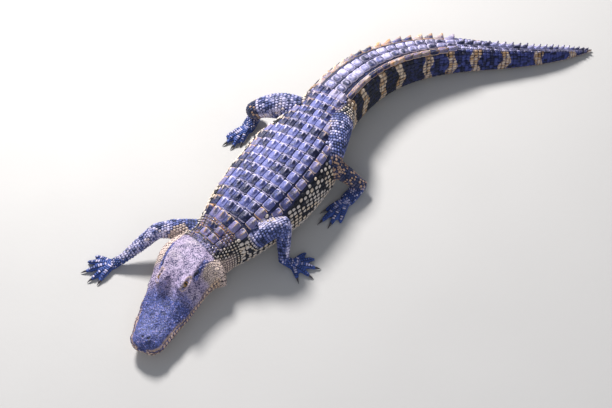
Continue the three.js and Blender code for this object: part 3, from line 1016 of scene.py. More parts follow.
def smooth_shade(mesh: Mesh) -> None:
    """Shades every face smooth."""
    mesh.polygons.foreach_set("use_smooth", [True] * len(mesh.polygons))


# ---- The skin ----


@dataclass
class Skin:
    """One skin over all of the flesh, from the lofts of trunk, head and limbs."""

    voxel: float = 0.0036
    smoothing: int = 3
    fine_until: float = 292
    head_until: float = 275
    head_half: float = 100
    ridges: tuple[tuple[float, float, float, float, float, float], ...] = (
        (-1.2, 12, 9, 178, 234, 8), (1.5, 19, 3.6, 70, 136, 8), (-1.1, 9, 5, 96, 150, 10),
        (-1.3, 27, 4.5, 112, 134, 6), (1.2, 0, 4.5, 48, 92, 10), (0.9, 30, 4.5, 40, 74, 8),
    )
    flesh_pairs: tuple[str, ...] = ("upper_arm", "forearm", "hand", "thigh", "shank", "foot")
    flesh_middle: tuple[str, ...] = (
        "head", "lower_jaw", "throat", "neck", "torso_front", "torso_middle", "pelvis",
        "tail_1", "tail_2", "tail_3", "tail_4", "tail_5",
    )

    def build(self) -> Thing:
        """Makes the skin and its folds.

        Returns:
            The skin.
        """
        shell = Shell()
        TRUNK.add_to(shell)
        HEAD.add_to(shell)
        for limb in LIMBS:
            limb.add_to(shell)
        made = shell.build("skin")
        with_modifier(made, "REMESH", mode="VOXEL", voxel_size=self.voxel, use_smooth_shade=True)
        self.keep_largest(made)
        self.refine_head(made)
        with_modifier(made, "SMOOTH", factor=0.5, iterations=self.smoothing)
        self.sculpt(made)
        smooth_shade(made.data)
        return made

    def keep_largest(self, made: Thing) -> None:
        """Drops every loose scrap that the remesh leaves.

        Args:
            made: the skin.
        """
        with opened(made.data) as work:
            left, best = set(work.verts), set()
            while left:
                seed = next(iter(left))
                island, queue = {seed}, [seed]
                while queue:
                    for edge in queue.pop().link_edges:
                        for vert in edge.verts:
                            if vert not in island:
                                island.add(vert)
                                queue.append(vert)
                left -= island
                best = max(best, island, key=len)
            bmesh.ops.delete(work, geom=[v for v in work.verts if v not in best], context="VERTS")

    def refine_head(self, made: Thing) -> None:
        """Halves the faces of the head, where the forms are smallest.

        Args:
            made: the skin.
        """
        s, side = LINE.locate(coordinates(made.data))
        chosen = (s < self.fine_until) & (np.abs(side) < self.head_half)
        with opened(made.data) as work:
            faces = {face for face in work.faces if all(chosen[v.index] for v in face.verts)}
            edges = [edge for edge in work.edges if any(face in faces for face in edge.link_faces)]
            bmesh.ops.subdivide_edges(work, edges=edges, cuts=1, use_grid_fill=True)
            bmesh.ops.triangulate(work, faces=[face for face in work.faces if len(face.verts) > 4])

    def sculpt(self, made: Thing) -> None:
        """Presses in the mouth line, eyes, ears and nostrils, and raises lids and folds.

        Args:
            made: the skin.
        """
        points, normals = coordinates(made.data), read_vectors(made.data.vertex_normals, "vector")
        s, side = LINE.locate(points)
        out, z = np.abs(side), points[:, 2]
        head = (s < self.head_until) & (out < self.head_half)
        openings = self.mouth(s, out, z) + self.ears_and_nose(s, out, z) + self.lids(points)
        push = (openings + self.skull(points, s, out, normals)) * head + self.folds(s, side, z, head)
        set_coordinates(made.data, above_floor(points + normals * push[:, None]))

    def mouth(self, s: Array, out: Array, z: Array) -> Array:
        """The groove of the mouth and the lip over it.

        Args:
            s: how far along the body each point lies.
            out: how far from its middle.
            z: how high.

        Returns:
            How far each point moves out.
        """
        above = z - HEAD.sections["mouth"](s) - 1.5 * np.sin(s / 11)
        shown = (1 - smoothstep(196, 224, s)) * (out > HEAD.sections["lips"](s) * 0.8)
        return (0.8 * bell(above, 4, 2.4) - 2.2 * bell(above, 0, 1.6)) * shown

    def ears_and_nose(self, s: Array, out: Array, z: Array) -> Array:
        """The ear slits, the nostrils and the nostrils' raised rims.

        Args:
            s: how far along the body each point lies.
            out: how far from its middle.
            z: how high.

        Returns:
            How far each point moves out.
        """
        front, rear, ear_out, ear_z = HEAD.ear
        ear = bell(np.hypot((out - ear_out) * 0.6, z - ear_z + 3), 0, 1.9)
        ear *= window((front - 4, front + 4, rear - 4, rear + 4), s)
        place, nose_out, height = HEAD.nostril
        nose = np.hypot((s - place) * 0.75, out - nose_out) + np.where(z < height - 10, 30, 0)
        return bell(nose, 5, 1.8) - 3.2 * bell(nose, 0, 2.3) - 2.6 * ear

    def folds(self, s: Array, side: Array, z: Array, head: Array) -> Array:
        """The skin's creases across the neck and on the jowls.

        Args:
            s: how far along the body each point lies.
            side: how far to its left.
            z: how high.
            head: whether it is on the head.

        Returns:
            How far each point moves out.
        """
        neck = window((246, 262, 316, 342), s) * (z > 12) * smoothstep(0.35, 0.8, np.abs(side) / 66)
        across = np.sin((s + 0.25 * z) / 3.1) * (0.5 + 0.5 * np.sin(side * 0.07 + z * 0.05))
        jowl = window((170, 215, 258, 280), s) * (1 - smoothstep(52, 66, z)) * head * (z > 6)
        return 0.7 * across * neck + 0.5 * np.sin(z / 2.6 + s / 14) * jowl

    def skull(self, points: Array, s: Array, out: Array, normals: Array) -> Array:
        """The ridges, hollows and pits of the skull under the skin of the head.

        Args:
            points: positions in millimetres.
            s: how far along the body each lies.
            out: how far from its middle.
            normals: the skin's directions.

        Returns:
            How far each point moves out.
        """
        top = smoothstep(0.25, 0.75, normals[:, 2])
        edge = HEAD.sections["edge"](s)
        push = 1.6 * bell(out, edge * 0.95, 3.4) * window((163, 173, 235, 245), s)
        for height, centre, half, low, high, soft in self.ridges:
            push += height * bell(out, centre, half) * window((low - soft, low + soft, high - soft, high + soft), s)
        push += 1.7 * bell(s, 242, 3.4) * (out < edge * 1.05) + bell(s, 38, 5) * bell(out, 0, 16)
        grain = np.zeros(len(points))
        for i in np.flatnonzero(s < self.head_until):
            spot = Vector(points[i])
            grain[i] = noise.noise(spot * 0.16) * 0.9 + noise.noise(spot * 0.42) * 0.65
        return push * top + grain * (0.35 + 0.65 * top) * (points[:, 2] > 8)

    def lids(self, points: Array) -> Array:
        """How far each point moves out for the eyelids and in for the openings between them.

        Args:
            points: positions in millimetres.

        Returns:
            How far each point moves out.
        """
        push = np.zeros(len(points))
        for hand in HANDS:
            ring, near = HEAD.round_eye(points, hand)
            lid = 1.5 * bell(ring, 1.32, 0.28) - 0.5 * bell(ring, 2.1, 0.25)
            push += (lid - 5.5 * (1 - smoothstep(0.7, 1.02, ring))) * near
        return push

    def dress(self, made: Thing, finish: Material) -> None:
        """Marks the skin, gives it its finish and lets it stand for the flesh.

        Args:
            made: the skin.
            finish: the hide.
        """
        marks = MARKINGS.masks(coordinates(made.data))
        marks |= {name: np.zeros(len(made.data.vertices)) for name in SHAPE_MARKS}
        write_floats(made.data, marks)
        made.data.materials.clear()
        made.data.materials.append(finish)
        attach(made, "root")
        paired = [f"{name}_{side.value}" for name in self.flesh_pairs for side in Side]
        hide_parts(*self.flesh_middle, *paired)
        LOG.info("skin: %d faces", len(made.data.polygons))


# ---- Scales ----


@dataclass(frozen=True)
class Plate:
    """The form of one kind of scale, in a unit box that stands on the skin with its length along X."""

    name: str
    along: int
    across: int
    square: float = 4.0
    rim: float = 0.25
    dome: float = 0.2
    keel: float = 0.55
    sharp: float = 0.3
    peak: float = 0.55
    lean: float = 0.0
    root: float = 0.6
    plain_sides: float = 1.0

    def build(self) -> Thing:
        """Makes the closed plate, with its rim, its keel and its place on its own patch marked.

        Returns:
            The plate.
        """
        u, v = np.meshgrid(np.linspace(-1, 1, self.along + 1), np.linspace(-1, 1, self.across + 1), indexing="ij")
        reach = np.maximum(np.abs(u), np.abs(v))
        total = (np.abs(u) ** self.square + np.abs(v) ** self.square) ** (1 / self.square)
        bend = np.where(total > 0, reach / np.where(total > 0, total, 1), 1)
        x, y = u * bend, v * bend
        rise = np.where(x < self.peak, (x + 1) / (self.peak + 1), 1 - 0.75 * ((x - self.peak) / (1 - self.peak)) ** 2)
        crest = bell(y, 0, self.sharp) * np.clip(rise, 0, 1) ** 1.2
        z = self.rim + self.dome * (1 - reach**2) + self.keel * crest
        x = x + self.lean * crest
        top = np.stack([x / 2, y / 2, z], -1).reshape(-1, 3)
        border = self.border()
        low = top[border].copy()
        low[:, 2] = -self.root
        points = np.vstack([top, low])
        wide, count = self.across + 1, len(top)
        faces = [
            [a * wide + b, (a + 1) * wide + b, (a + 1) * wide + b + 1, a * wide + b + 1]
            for a in range(self.along) for b in range(self.across)
        ]
        n = len(border)
        faces += [[border[(i + 1) % n], border[i], count + i, count + (i + 1) % n] for i in range(n)]
        faces.append([count + i for i in range(n)][::-1])
        made = facing_out(mesh_object(f"form_{self.name}", points / MM, faces))
        ends, sides = (smoothstep(0.5, 1.0, value) for value in (np.abs(u), reach))
        ends = ends * (1 - self.plain_sides) + sides * self.plain_sides
        edge = np.concatenate([ends.ravel(), np.ones(n)])
        ridge = np.concatenate([crest.ravel(), np.zeros(n)])
        patch = np.vstack([top[:, :2], top[border][:, :2]])
        write_floats(made.data, {"rim": edge, "keel": ridge, "patch_u": patch[:, 0], "patch_v": patch[:, 1]})
        smooth_shade(made.data)
        return made

    def border(self) -> list[int]:
        """The numbers of the points round the edge, in order.

        Returns:
            The point numbers.
        """
        wide, last = self.across + 1, self.along
        path = [(0, b) for b in range(self.across)] + [(a, self.across) for a in range(last)]
        path += [(last, b) for b in range(self.across, 0, -1)] + [(a, 0) for a in range(last, 0, -1)]
        return [a * wide + b for a, b in path]


@dataclass
class Roots:
    """Where the scales of one coat piece stand, in millimetres."""

    spot: Array
    ahead: Array
    size: Array
    tint: Array
    spread: Array
    up: Array | None = None

    @staticmethod
    def join(several: "Sequence[Roots]") -> "Roots":
        """One set from several."""
        names = ("spot", "ahead", "size", "tint", "spread")
        return Roots(*(np.concatenate([getattr(roots, name) for roots in several]) for name in names))

    def keep(self, chosen: Array) -> "Roots":
        """The chosen ones alone."""
        return Roots(**{name: values[chosen] for name, values in vars(self).items() if values is not None})

    def settle(self, tree: BVHTree, reach: float) -> "Roots":
        """Sets the roots on the skin and drops those that are covered by another part.

        Args:
            tree: the skin.
            reach: how far a root may be from it, in millimetres.

        Returns:
            The roots left, each with the direction that points out of the skin.
        """
        spots, ups, found = [], [], []
        for spot in self.spot:
            hit, normal, _, gap = tree.find_nearest(Vector(spot * MM))
            found.append(gap is not None and gap / MM <= reach)
            spots.append(np.array(hit) / MM)
            ups.append(np.array(normal))
        return replace(self, spot=np.array(spots), up=np.array(ups)).keep(np.array(found))

    def turns(self) -> Array:
        """The turn of each scale, as angles about X, Y and Z.

        Returns:
            Three angles for each.
        """
        angles = []
        for up, ahead in zip(self.up, self.ahead):
            x = ahead - up * ahead.dot(up)
            x = x / max(np.linalg.norm(x), 1e-6)
            angles.append(Matrix(np.stack([x, np.cross(up, x), up], 1).tolist()).to_euler("XYZ")[:])
        return np.array(angles)


class NodeMaker:
    """Makes and links the nodes of one tree."""

    def __init__(self, tree: bpy.types.NodeTree) -> None:
        """Keeps the tree."""
        self.tree = tree

    def node(self, kind: str, inputs: dict[str | int, object] | None = None, **settings: object) -> bpy.types.Node:
        """Makes one node.

        Args:
            kind: its type.
            inputs: what to feed each input, by name or number.
            settings: the node's own settings.

        Returns:
            The node.
        """
        made = self.tree.nodes.new(kind)
        for name, value in settings.items():
            setattr(made, name, value)
        for key, value in (inputs or {}).items():
            named = (socket for socket in made.inputs if socket.name == key and socket.enabled)
            self.feed(next(named) if isinstance(key, str) else made.inputs[key], value)
        return made

    def feed(self, socket: Socket, value: object) -> None:
        """Links or sets one input.

        Args:
            socket: the input.
            value: a socket to link, or a value.
        """
        if isinstance(value, Socket):
            self.tree.links.new(value, socket)
        else:
            socket.default_value = value


class ScatterTree(NodeMaker):
    """Geometry nodes that stand one scale on every root and join them all."""

    def __init__(self) -> None:
        """Makes the node tree."""
        super().__init__(bpy.data.node_groups.new("scatter_scales", "GeometryNodeTree"))
        inputs = [
            ("Roots", "NodeSocketGeometry"), ("Form", "NodeSocketObject"), ("Finish", "NodeSocketMaterial"),
            ("Variation", "NodeSocketFloat"), ("Seed", "NodeSocketInt"),
        ]
        self.sockets = {
            name: self.tree.interface.new_socket(name, in_out="INPUT", socket_type=kind).identifier
            for name, kind in inputs
        }
        self.tree.interface.new_socket("Scales", in_out="OUTPUT", socket_type="NodeSocketGeometry")
        self.wire()

    def wire(self) -> None:
        """Links the nodes from roots to joined scales."""
        given = self.node("NodeGroupInput").outputs
        form = self.node("GeometryNodeObjectInfo", {"Object": given["Form"]})
        turn = self.node("GeometryNodeInputNamedAttribute", {"Name": "turn"}, data_type="FLOAT_VECTOR")
        size = self.node("GeometryNodeInputNamedAttribute", {"Name": "size"}, data_type="FLOAT_VECTOR")
        low, high = (
            self.node("ShaderNodeMath", {0: 1.0, 1: given["Variation"]}, operation=sign).outputs[0]
            for sign in ("SUBTRACT", "ADD")
        )
        limits = {"Min": low, "Max": high, "Seed": given["Seed"]}
        chance = self.node("FunctionNodeRandomValue", limits, data_type="FLOAT")
        share = next(s for s in chance.outputs if s.enabled)
        sized = self.node("ShaderNodeVectorMath", {0: size.outputs[0], "Scale": share}, operation="SCALE")
        rotation = self.node("FunctionNodeEulerToRotation", {"Euler": turn.outputs[0]})
        stand = {
            "Points": given["Roots"], "Instance": form.outputs["Geometry"],
            "Rotation": rotation.outputs[0], "Scale": sized.outputs[0],
        }
        stood = self.node("GeometryNodeInstanceOnPoints", stand)
        real = self.node("GeometryNodeRealizeInstances", {"Geometry": stood.outputs[0]})
        dressed = self.node("GeometryNodeSetMaterial", {"Geometry": real.outputs[0], "Material": given["Finish"]})
        self.node("NodeGroupOutput", {"Scales": dressed.outputs[0]})


@dataclass
class Coat:
    """One piece of the coat: scales of one form, standing on the skin."""

    name: str
    plate: Plate
    roots: Roots
    seed: int
    variation: float = 0.06
    patch: float = 0.003
    slot: str = "hide"
    fine_marks: bool = False

    def build(self, scatter: ScatterTree, finish: Material) -> Thing:
        """Stands the scales on their roots and joins them.

        Args:
            scatter: the geometry nodes.
            finish: the hide.

        Returns:
            The finished piece.
        """
        form = self.plate.build()
        made = mesh_object(self.name, self.roots.spot, [])
        for name, values in (("turn", self.roots.turns()), ("size", self.roots.size * MM)):
            layer = made.data.attributes.new(name, "FLOAT_VECTOR", "POINT")
            layer.data.foreach_set("vector", values.astype(np.float32).ravel())
        marks = MARKINGS.masks(self.roots.spot)
        if self.name == "back_scutes":
            marks |= {"limb": marks["limb"] * 0, "back": np.maximum(marks["back"], 0.95)}
        marks |= {"tint": self.roots.tint, "root_u": self.roots.spread[:, 0], "root_v": self.roots.spread[:, 1]}
        write_floats(made.data, marks)
        modifier = made.modifiers.new("scatter", "NODES")
        modifier.node_group = scatter.tree
        settings = {"Form": form, "Finish": finish, "Variation": self.variation, "Seed": self.seed}
        for name, value in settings.items():
            modifier[scatter.sockets[name]] = value
        bake_modifiers(made)
        bpy.data.objects.remove(form)
        set_coordinates(made.data, above_floor(coordinates(made.data)))
        if self.fine_marks:
            write_floats(made.data, MARKINGS.masks(coordinates(made.data)))
        self.unwrap(made.data)
        smooth_shade(made.data)
        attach(made, "root")
        LOG.info("%s: %d scales, %d faces", self.name, len(self.roots.spot), len(made.data.polygons))
        return made

    def unwrap(self, mesh: Mesh) -> None:
        """Gives each scale a small patch at its root's place on the flat map of the skin.

        Args:
            mesh: the joined scales.
        """
        places = {}
        for name in ("root_u", "root_v", "patch_u", "patch_v"):
            places[name] = np.empty(len(mesh.vertices), np.float32)
            mesh.attributes[name].data.foreach_get("value", places[name])
        spot = np.stack([places[f"root_{axis}"] + places[f"patch_{axis}"] * self.patch for axis in "uv"], 1)
        corners = np.empty(len(mesh.loops), np.int32)
        mesh.loops.foreach_get("vertex_index", corners)
        layer = mesh.uv_layers.new(name="OFBake")
        layer.data.foreach_set("uv", np.clip(spot[corners], 0, 1).astype(np.float32).ravel())
        for name in places:
            mesh.attributes.remove(mesh.attributes[name])


@dataclass(frozen=True)
class Rows:
    """Where rows of one kind of scale start and end along the body, and how far apart they stand."""

    start: float
    end: float
    along: float
    across: float

    def places(self, shift: float = 0.0) -> Array:
        """The place of each row."""
        return np.arange(self.start + shift, self.end, self.along)


@dataclass
class ScaleField:
    """Lays out the roots of every kind of scale."""

    seed: int = 7
    walk_steps: int = 160
    lanes: tuple[int, ...] = (6, 6, 6, 8, 8, 8, 8, 8, 8, 8, 8, 6, 6, 6, 4, 4, 4)
    neck_plates: tuple[tuple[float, float, float, float, float], ...] = (
        (281, 13, 17, 20, 9.4), (282, 33, 13, 14, 7.4), (300, 12, 16, 18, 9.4),
    )
    flank_rows: Rows = Rows(316, 770, 11.5, 10.5)
    neck_rows: Rows = Rows(258, 330, 6.6, 6.6)
    cheek_rows: Rows = Rows(12, 262, 6.8, 6.6)
    face_rows: Rows = Rows(60, 262, 5.6, 5.2)
    lip_rows: Rows = Rows(9, 212, 8.2, 8.2)
    sole_pitch: float = 5.4
    toe_pitch: float = 5.0
    snout_tip: tuple[tuple[float, float], ...] = (
        (4.5, 21), (1.5, 13.5), (0.5, 4.5), (0.5, -4.5), (1.5, -13.5), (4.5, -21),
    )
    rng: np.random.Generator = field(init=False)

    def __post_init__(self) -> None:
        """Starts the random numbers."""
        self.rng = np.random.default_rng(self.seed)

    def map_body(self, s: Array, angle: Array) -> Array:
        """The place on the flat map of a spot on the body."""
        share = np.mod(angle + math.pi, 2 * math.pi) / (2 * math.pi)
        return np.stack([0.02 + 0.94 * s / LINE.total, 0.02 + 0.5 * share], -1)

    def map_limb(self, number: int, t: Array, angle: Array) -> Array:
        """The place on the flat map of a spot on a limb, whose length runs from 0 to 3."""
        share = np.mod(angle, 2 * math.pi) / (2 * math.pi)
        return np.stack([0.02 + 0.31 * t, 0.56 + 0.105 * number + 0.09 * share], -1)

    def back_angle(self, s: float, side: float) -> float:
        """The angle around the body of a place to the left of the back's middle."""
        share = min(abs(side) / float(TRUNK.sections["width"](s)), 0.999) ** (float(TRUNK.sections["upper"](s)) / 2)
        return mirrored(math.acos(share), 1 if side >= 0 else -1)

    def on_body(self, rows: Sequence[Sequence[object]]) -> Roots:
        """Roots at places along and around the body.

        Args:
            rows: the place, the angle and the length, width and height of each scale, and its tint if it isn't random.

        Returns:
            The roots.
        """
        s, angle, size, *tints = (np.array(column, float) for column in zip(*rows))
        tint = tints[0] if tints else self.rng.random(len(s))
        return Roots(TRUNK.surface(s, angle, -TRUNK.inset), LINE.ahead(s), size, tint, self.map_body(s, angle))

    def gather(self, rows: Sequence[Sequence[object]]) -> Roots:
        """Roots from rows of spot, direction, size and place on the flat map, with random tints."""
        spot, ahead, size, spread = (np.array(column) for column in zip(*rows))
        return Roots(spot, ahead, size, self.rng.random(len(rows)), spread)

    def near_one(self, share: float) -> float:
        """A random number within share of 1."""
        return 1 + share * (2 * self.rng.random() - 1)

    def walk(self, s: float, high: float, low: float, pitch: float, shift: float) -> Array:
        """Angles spaced evenly over the skin of one section.

        Args:
            s: the section's place.
            high: the angle to start from.
            low: the angle to end at.
            pitch: the spacing in millimetres.
            shift: the first one's place, as a share of the pitch.

        Returns:
            The angles.
        """
        angles = np.linspace(high, low, self.walk_steps)
        points = TRUNK.surface(s, angles)
        run = np.concatenate([[0], np.cumsum(np.linalg.norm(np.diff(points, axis=0), axis=1))])
        return np.interp(np.arange(pitch * shift, run[-1], pitch), run, angles)

    def floor_angle(self, s: float) -> float:
        """The angle where the side of the body meets the floor."""
        widest = float(TRUNK.sections["widest"](s))
        return -math.asin(((widest - 3) / (widest + TRUNK.belly_sink)) ** (float(TRUNK.sections["lower"](s)) / 2))

    def shield(self) -> Roots:
        """The keeled plates of the trunk, row by row, and of the neck.

        Returns:
            The roots.
        """
        width = Track([(312, 20), (426, 22), (566, 22), (666, 20), (771, 21)])
        rows = []
        for row, count in enumerate(self.lanes):
            place = TRUNK.neck_end + TRUNK.row_pitch * (row + 0.5)
            wide = float(width(place))
            for i in range(count):
                lane = i - (count - 1) / 2
                breadth, tall = (0.84, 8.2) if abs(lane) > 2.6 else (0.94, 9.4)
                size = (TRUNK.row_pitch * 0.95, wide * breadth, tall * self.near_one(0.1))
                rows.append((place, self.back_angle(place, lane * wide), size))
        for place, out, *size in self.neck_plates:
            rows.extend((place, self.back_angle(place, out * hand), size) for hand in HANDS)
        return self.on_body(rows)

    def shield_edge(self, s: float) -> float:
        """Half the width of the plated back."""
        return float(Track(MARKINGS.shield)(s)) - 1

    def flank(self) -> Roots:
        """The oval scales of the sides of the trunk.

        Returns:
            The roots.
        """
        rows = []
        for row, place in enumerate(self.flank_rows.places()):
            side = min(self.shield_edge(place), float(TRUNK.sections["width"](place)) * 0.94)
            edge = self.back_angle(place, side)
            for hand in HANDS:
                shift = 0.1 + 0.5 * (row % 2)
                for spot in self.walk(place, edge, self.floor_angle(place), self.flank_rows.across, shift):
                    along = place + 1.2 * (2 * self.rng.random() - 1)
                    grow = self.near_one(0.16)
                    rows.append((along, mirrored(spot, hand), (11.8 * grow, 9.2 * grow, 4.2), self.rng.random()))
        return self.on_body(rows)

    def whorls(self) -> tuple[Roots, Roots]:
        """The rectangular scales of the tail's sides and back, and the blades of its crests.

        Returns:
            The scales' roots and the blades'.
        """
        plates: list[tuple[float, float, tuple[float, float, float]]] = []
        blades: list[tuple[float, float, tuple[float, float, float]]] = []
        spread = Track([(771, 0.68), (1086, 0.62), (1146, 0.42)])
        tall = Track([(771, 6), (900, 8), (1146, 13), (1300, 16), (1508, 3)])
        for place, pitch in self.stations():
            width, double = float(TRUNK.sections["width"](place)), place < TRUNK.crest_merge
            side = width * float(spread(place)) if double else 0.0
            height = float(tall(place)) + 3.6
            thick = min(14.0, side * 0.9) if double else min(10.0, width * 0.9)
            for hand in HANDS if double else (0,):
                angle = self.back_angle(place, side * hand + 1e-6)
                blades.append((place, angle, (pitch * 1.04, thick, height * self.near_one(0.07))))
            if double and side > 14:
                for hand in HANDS:
                    angle = self.back_angle(place, side * 0.34 * hand)
                    plates.append((place, angle, (pitch * 0.94, side * 0.56, 5.0)))
            edge = side + thick * 0.5 if double else min(thick * 0.45, width * 0.8)
            start = self.back_angle(place, min(edge, width * 0.96))
            row = max(4.2, min(10.5, width * 0.2))
            for half in (-0.25, 0.25):
                at = place + half * pitch
                for hand in HANDS:
                    for spot in self.walk(at, start, self.floor_angle(at), row, 0.55):
                        plates.append((at, mirrored(spot, hand), (pitch * 0.48, row * 0.93, 3.6)))
        return self.on_body(plates), self.on_body(blades)

    def stations(self) -> list[tuple[float, float]]:
        """The middle and the length of each whorl of the tail, which shorten behind the double crest.

        Returns:
            The two numbers of each whorl.
        """
        pitch = TRUNK.whorl_pitch
        found = [(TRUNK.trunk_end + pitch * (i + 0.5), pitch) for i in range(TRUNK.double_whorls)]
        place = TRUNK.crest_merge
        while place + (pitch := 22 - (place - TRUNK.crest_merge) * 0.026) < LINE.total - 12:
            found.append((place + pitch / 2, pitch))
            place += pitch
        return found

    def neck(self) -> Roots:
        """The small domed scales of the neck and shoulders.

        Returns:
            The roots.
        """
        rows = []
        for row, place in enumerate(self.neck_rows.places()):
            low = self.floor_angle(place) if place < 316 else 0.0
            for hand in HANDS:
                for spot in self.walk(place, math.pi / 2, low, self.neck_rows.across, 0.5 * (row % 2) + 0.25):
                    size = (6.4 * self.near_one(0.2), 5.8 * self.near_one(0.2), 3.4)
                    rows.append((place, mirrored(spot, hand), size))
        return self.on_body(rows)

    def limb(self, number: int) -> Roots:
        """The scales of one limb down to the wrist or ankle.

        Args:
            number: which limb.

        Returns:
            The roots.
        """
        limb = LIMBS[number]
        pitch = 6.2 if limb.is_arm else 7.0
        found = []
        for part, (spots, radii, flat) in enumerate(limb.parts()):
            length = float(sum(np.linalg.norm(b - a) for a, b in zip(spots, spots[1:])))
            steps = max(3, round((length + radii[-1] * 0.6) / pitch))
            t = (np.arange(steps) + 0.5) / steps * (1 + radii[-1] * 0.5 / length)
            centres, ahead, sides, ups = frames_along(spots, t)
            reach = limb_radius(radii, np.clip(t, 0, 1))
            for i in range(steps):
                around = max(8, round(2 * math.pi * reach[i] / pitch))
                angle = (np.arange(around) + 0.5 * (i % 2)) / around * 2 * math.pi
                out = sides[i] * np.cos(angle)[:, None] + ups[i] * flat * np.sin(angle)[:, None]
                grow = 1 + 0.18 * (2 * self.rng.random(around) - 1)
                size = np.stack([pitch * 1.06 * grow, pitch * 0.96 * grow, np.full(around, 2.3)], 1)
                tint = self.rng.random(around)
                spread = self.map_limb(number, np.full(around, part + min(t[i], 1.0)), angle)
                found.append(Roots(centres[i] + reach[i] * out, np.tile(ahead[i], (around, 1)), size, tint, spread))
        return Roots.join(found)

    def foot(self, number: int) -> tuple[Roots, Roots]:
        """The small scales of one palm or sole, and the bands across its toes.

        Args:
            number: which limb.

        Returns:
            The scales' roots and the bands'.
        """
        limb = LIMBS[number]
        root_r, tip_r, _, sole = limb.toe_size
        wrist = np.array(limb.end, float)
        way = limb.hub() - wrist
        length = float(np.linalg.norm(way))
        side = np.cross(UPRIGHT, way / length)
        side /= np.linalg.norm(side)
        rows = []
        for i, t in enumerate(np.arange(0.0, 1.25, self.sole_pitch / length)):
            for j in np.arange(-sole * 1.05, sole * 1.05, self.sole_pitch):
                across = j + self.sole_pitch / 2 * (i % 2)
                spot = wrist + way * t + side * across + UPRIGHT * (8 - abs(across) * 0.2)
                size = (5.6 * self.near_one(0.15), 5.0 * self.near_one(0.15), 1.7)
                rows.append((spot, way / length, size, self.map_limb(number, 2 + 0.3 * min(t, 1), across * 0.1 + 3.1)))
        palm, rows = self.gather(rows), []
        for toe, (root, knuckle, tip) in enumerate(limb.toe_lines()):
            span = float(np.linalg.norm(tip - root))
            for t in np.arange(0.04, 0.94, self.toe_pitch / span):
                (centre,) = curve_through([root, knuckle, tip], np.array([t]))
                r = root_r + (tip_r - root_r) * t
                spread = self.map_limb(number, 2.35 + 0.6 * t, 0.7 + toe * 1.1)
                rows.append((centre + UPRIGHT * r, (tip - root) / span, (5.4, r * 1.75, 1.9), spread))
        return palm, self.gather(rows)

    def at_head(self, rows: Sequence[Sequence[object]]) -> Roots:
        """Roots near places beside the head, to be settled on its skin.

        Args:
            rows: the place, how far left, how high and the length, width and height of each scale.

        Returns:
            The roots.
        """
        s, side, z, size = (np.array(column, float) for column in zip(*rows))
        spread = self.map_body(s, np.arctan2(z - HEAD.middle, side))
        return Roots(LINE.place(s, side, z), LINE.ahead(s), size, self.rng.random(len(s)), spread)

    def lips(self) -> Roots:
        """The rows of square scales along both lips.

        Returns:
            The roots.
        """
        rows = []
        for row, (lift, tall, inset) in enumerate(((4.6, 7.4, 0.0), (-5.0, 6.4, HEAD.jaw_inset))):
            for place in self.lip_rows.places(3 * row):
                lips, mouth = HEAD.sections.at("lips mouth", place)
                for hand, swell in zip(HANDS, HEAD.swell(place)):
                    size = (self.lip_rows.along * self.near_one(0.06), tall, 1.8)
                    rows.append((place, hand * (lips * swell - inset), mouth + lift, size))
            for place, out in self.snout_tip:
                (mouth,) = HEAD.sections.at("mouth", place)
                rows.append((place + 2.5 * row, out, mouth + lift, (self.lip_rows.along, tall, 1.8)))
        return self.at_head(rows)

    def cheeks(self) -> Roots:
        """The round scales of the lower jaw, the jowls and the sides of the face.

        Returns:
            The roots.
        """
        rows = []
        for row, place in enumerate(self.cheek_rows.places()):
            mouth, chin, lips = HEAD.sections.at("mouth chin lips", place)
            top = mouth - 10 if place < 205 else mouth + 10
            for height in np.arange(chin + 2 + 3.2 * (row % 2), top, self.cheek_rows.across):
                out = lips * (1.0 if height < mouth + 8 else 0.9)
                for hand, swell in zip(HANDS, HEAD.swell(place)):
                    grow = self.near_one(0.18)
                    rows.append((place, hand * out * swell, height, (6.9 * grow, 6.2 * grow, 1.9)))
        return self.at_head(rows)

    def face(self) -> Roots:
        """The small flat scales of the face between the lips and the upper edge.

        Returns:
            The roots.
        """
        rows = []
        for row, place in enumerate(self.face_rows.places()):
            mouth, edge_top, lips, edge = HEAD.sections.at("mouth edge_top lips edge", place)
            low = mouth + 11
            for height in np.arange(low + 2.4 * (row % 2), edge_top - 3, self.face_rows.across):
                share = (height - low) / max(edge_top - low, 1)
                for hand in HANDS:
                    grow = self.near_one(0.2)
                    side = hand * (lips * (1 - share) + edge * HEAD.edge_flare * share)
                    rows.append((place, side, height, (5.6 * grow, 4.9 * grow, 1.1)))
        return self.at_head(rows)


def mirrored(angle: float, hand: int) -> float:
    """The same angle round the body, counted from the side that hand names."""
    return angle if hand > 0 else math.pi - angle


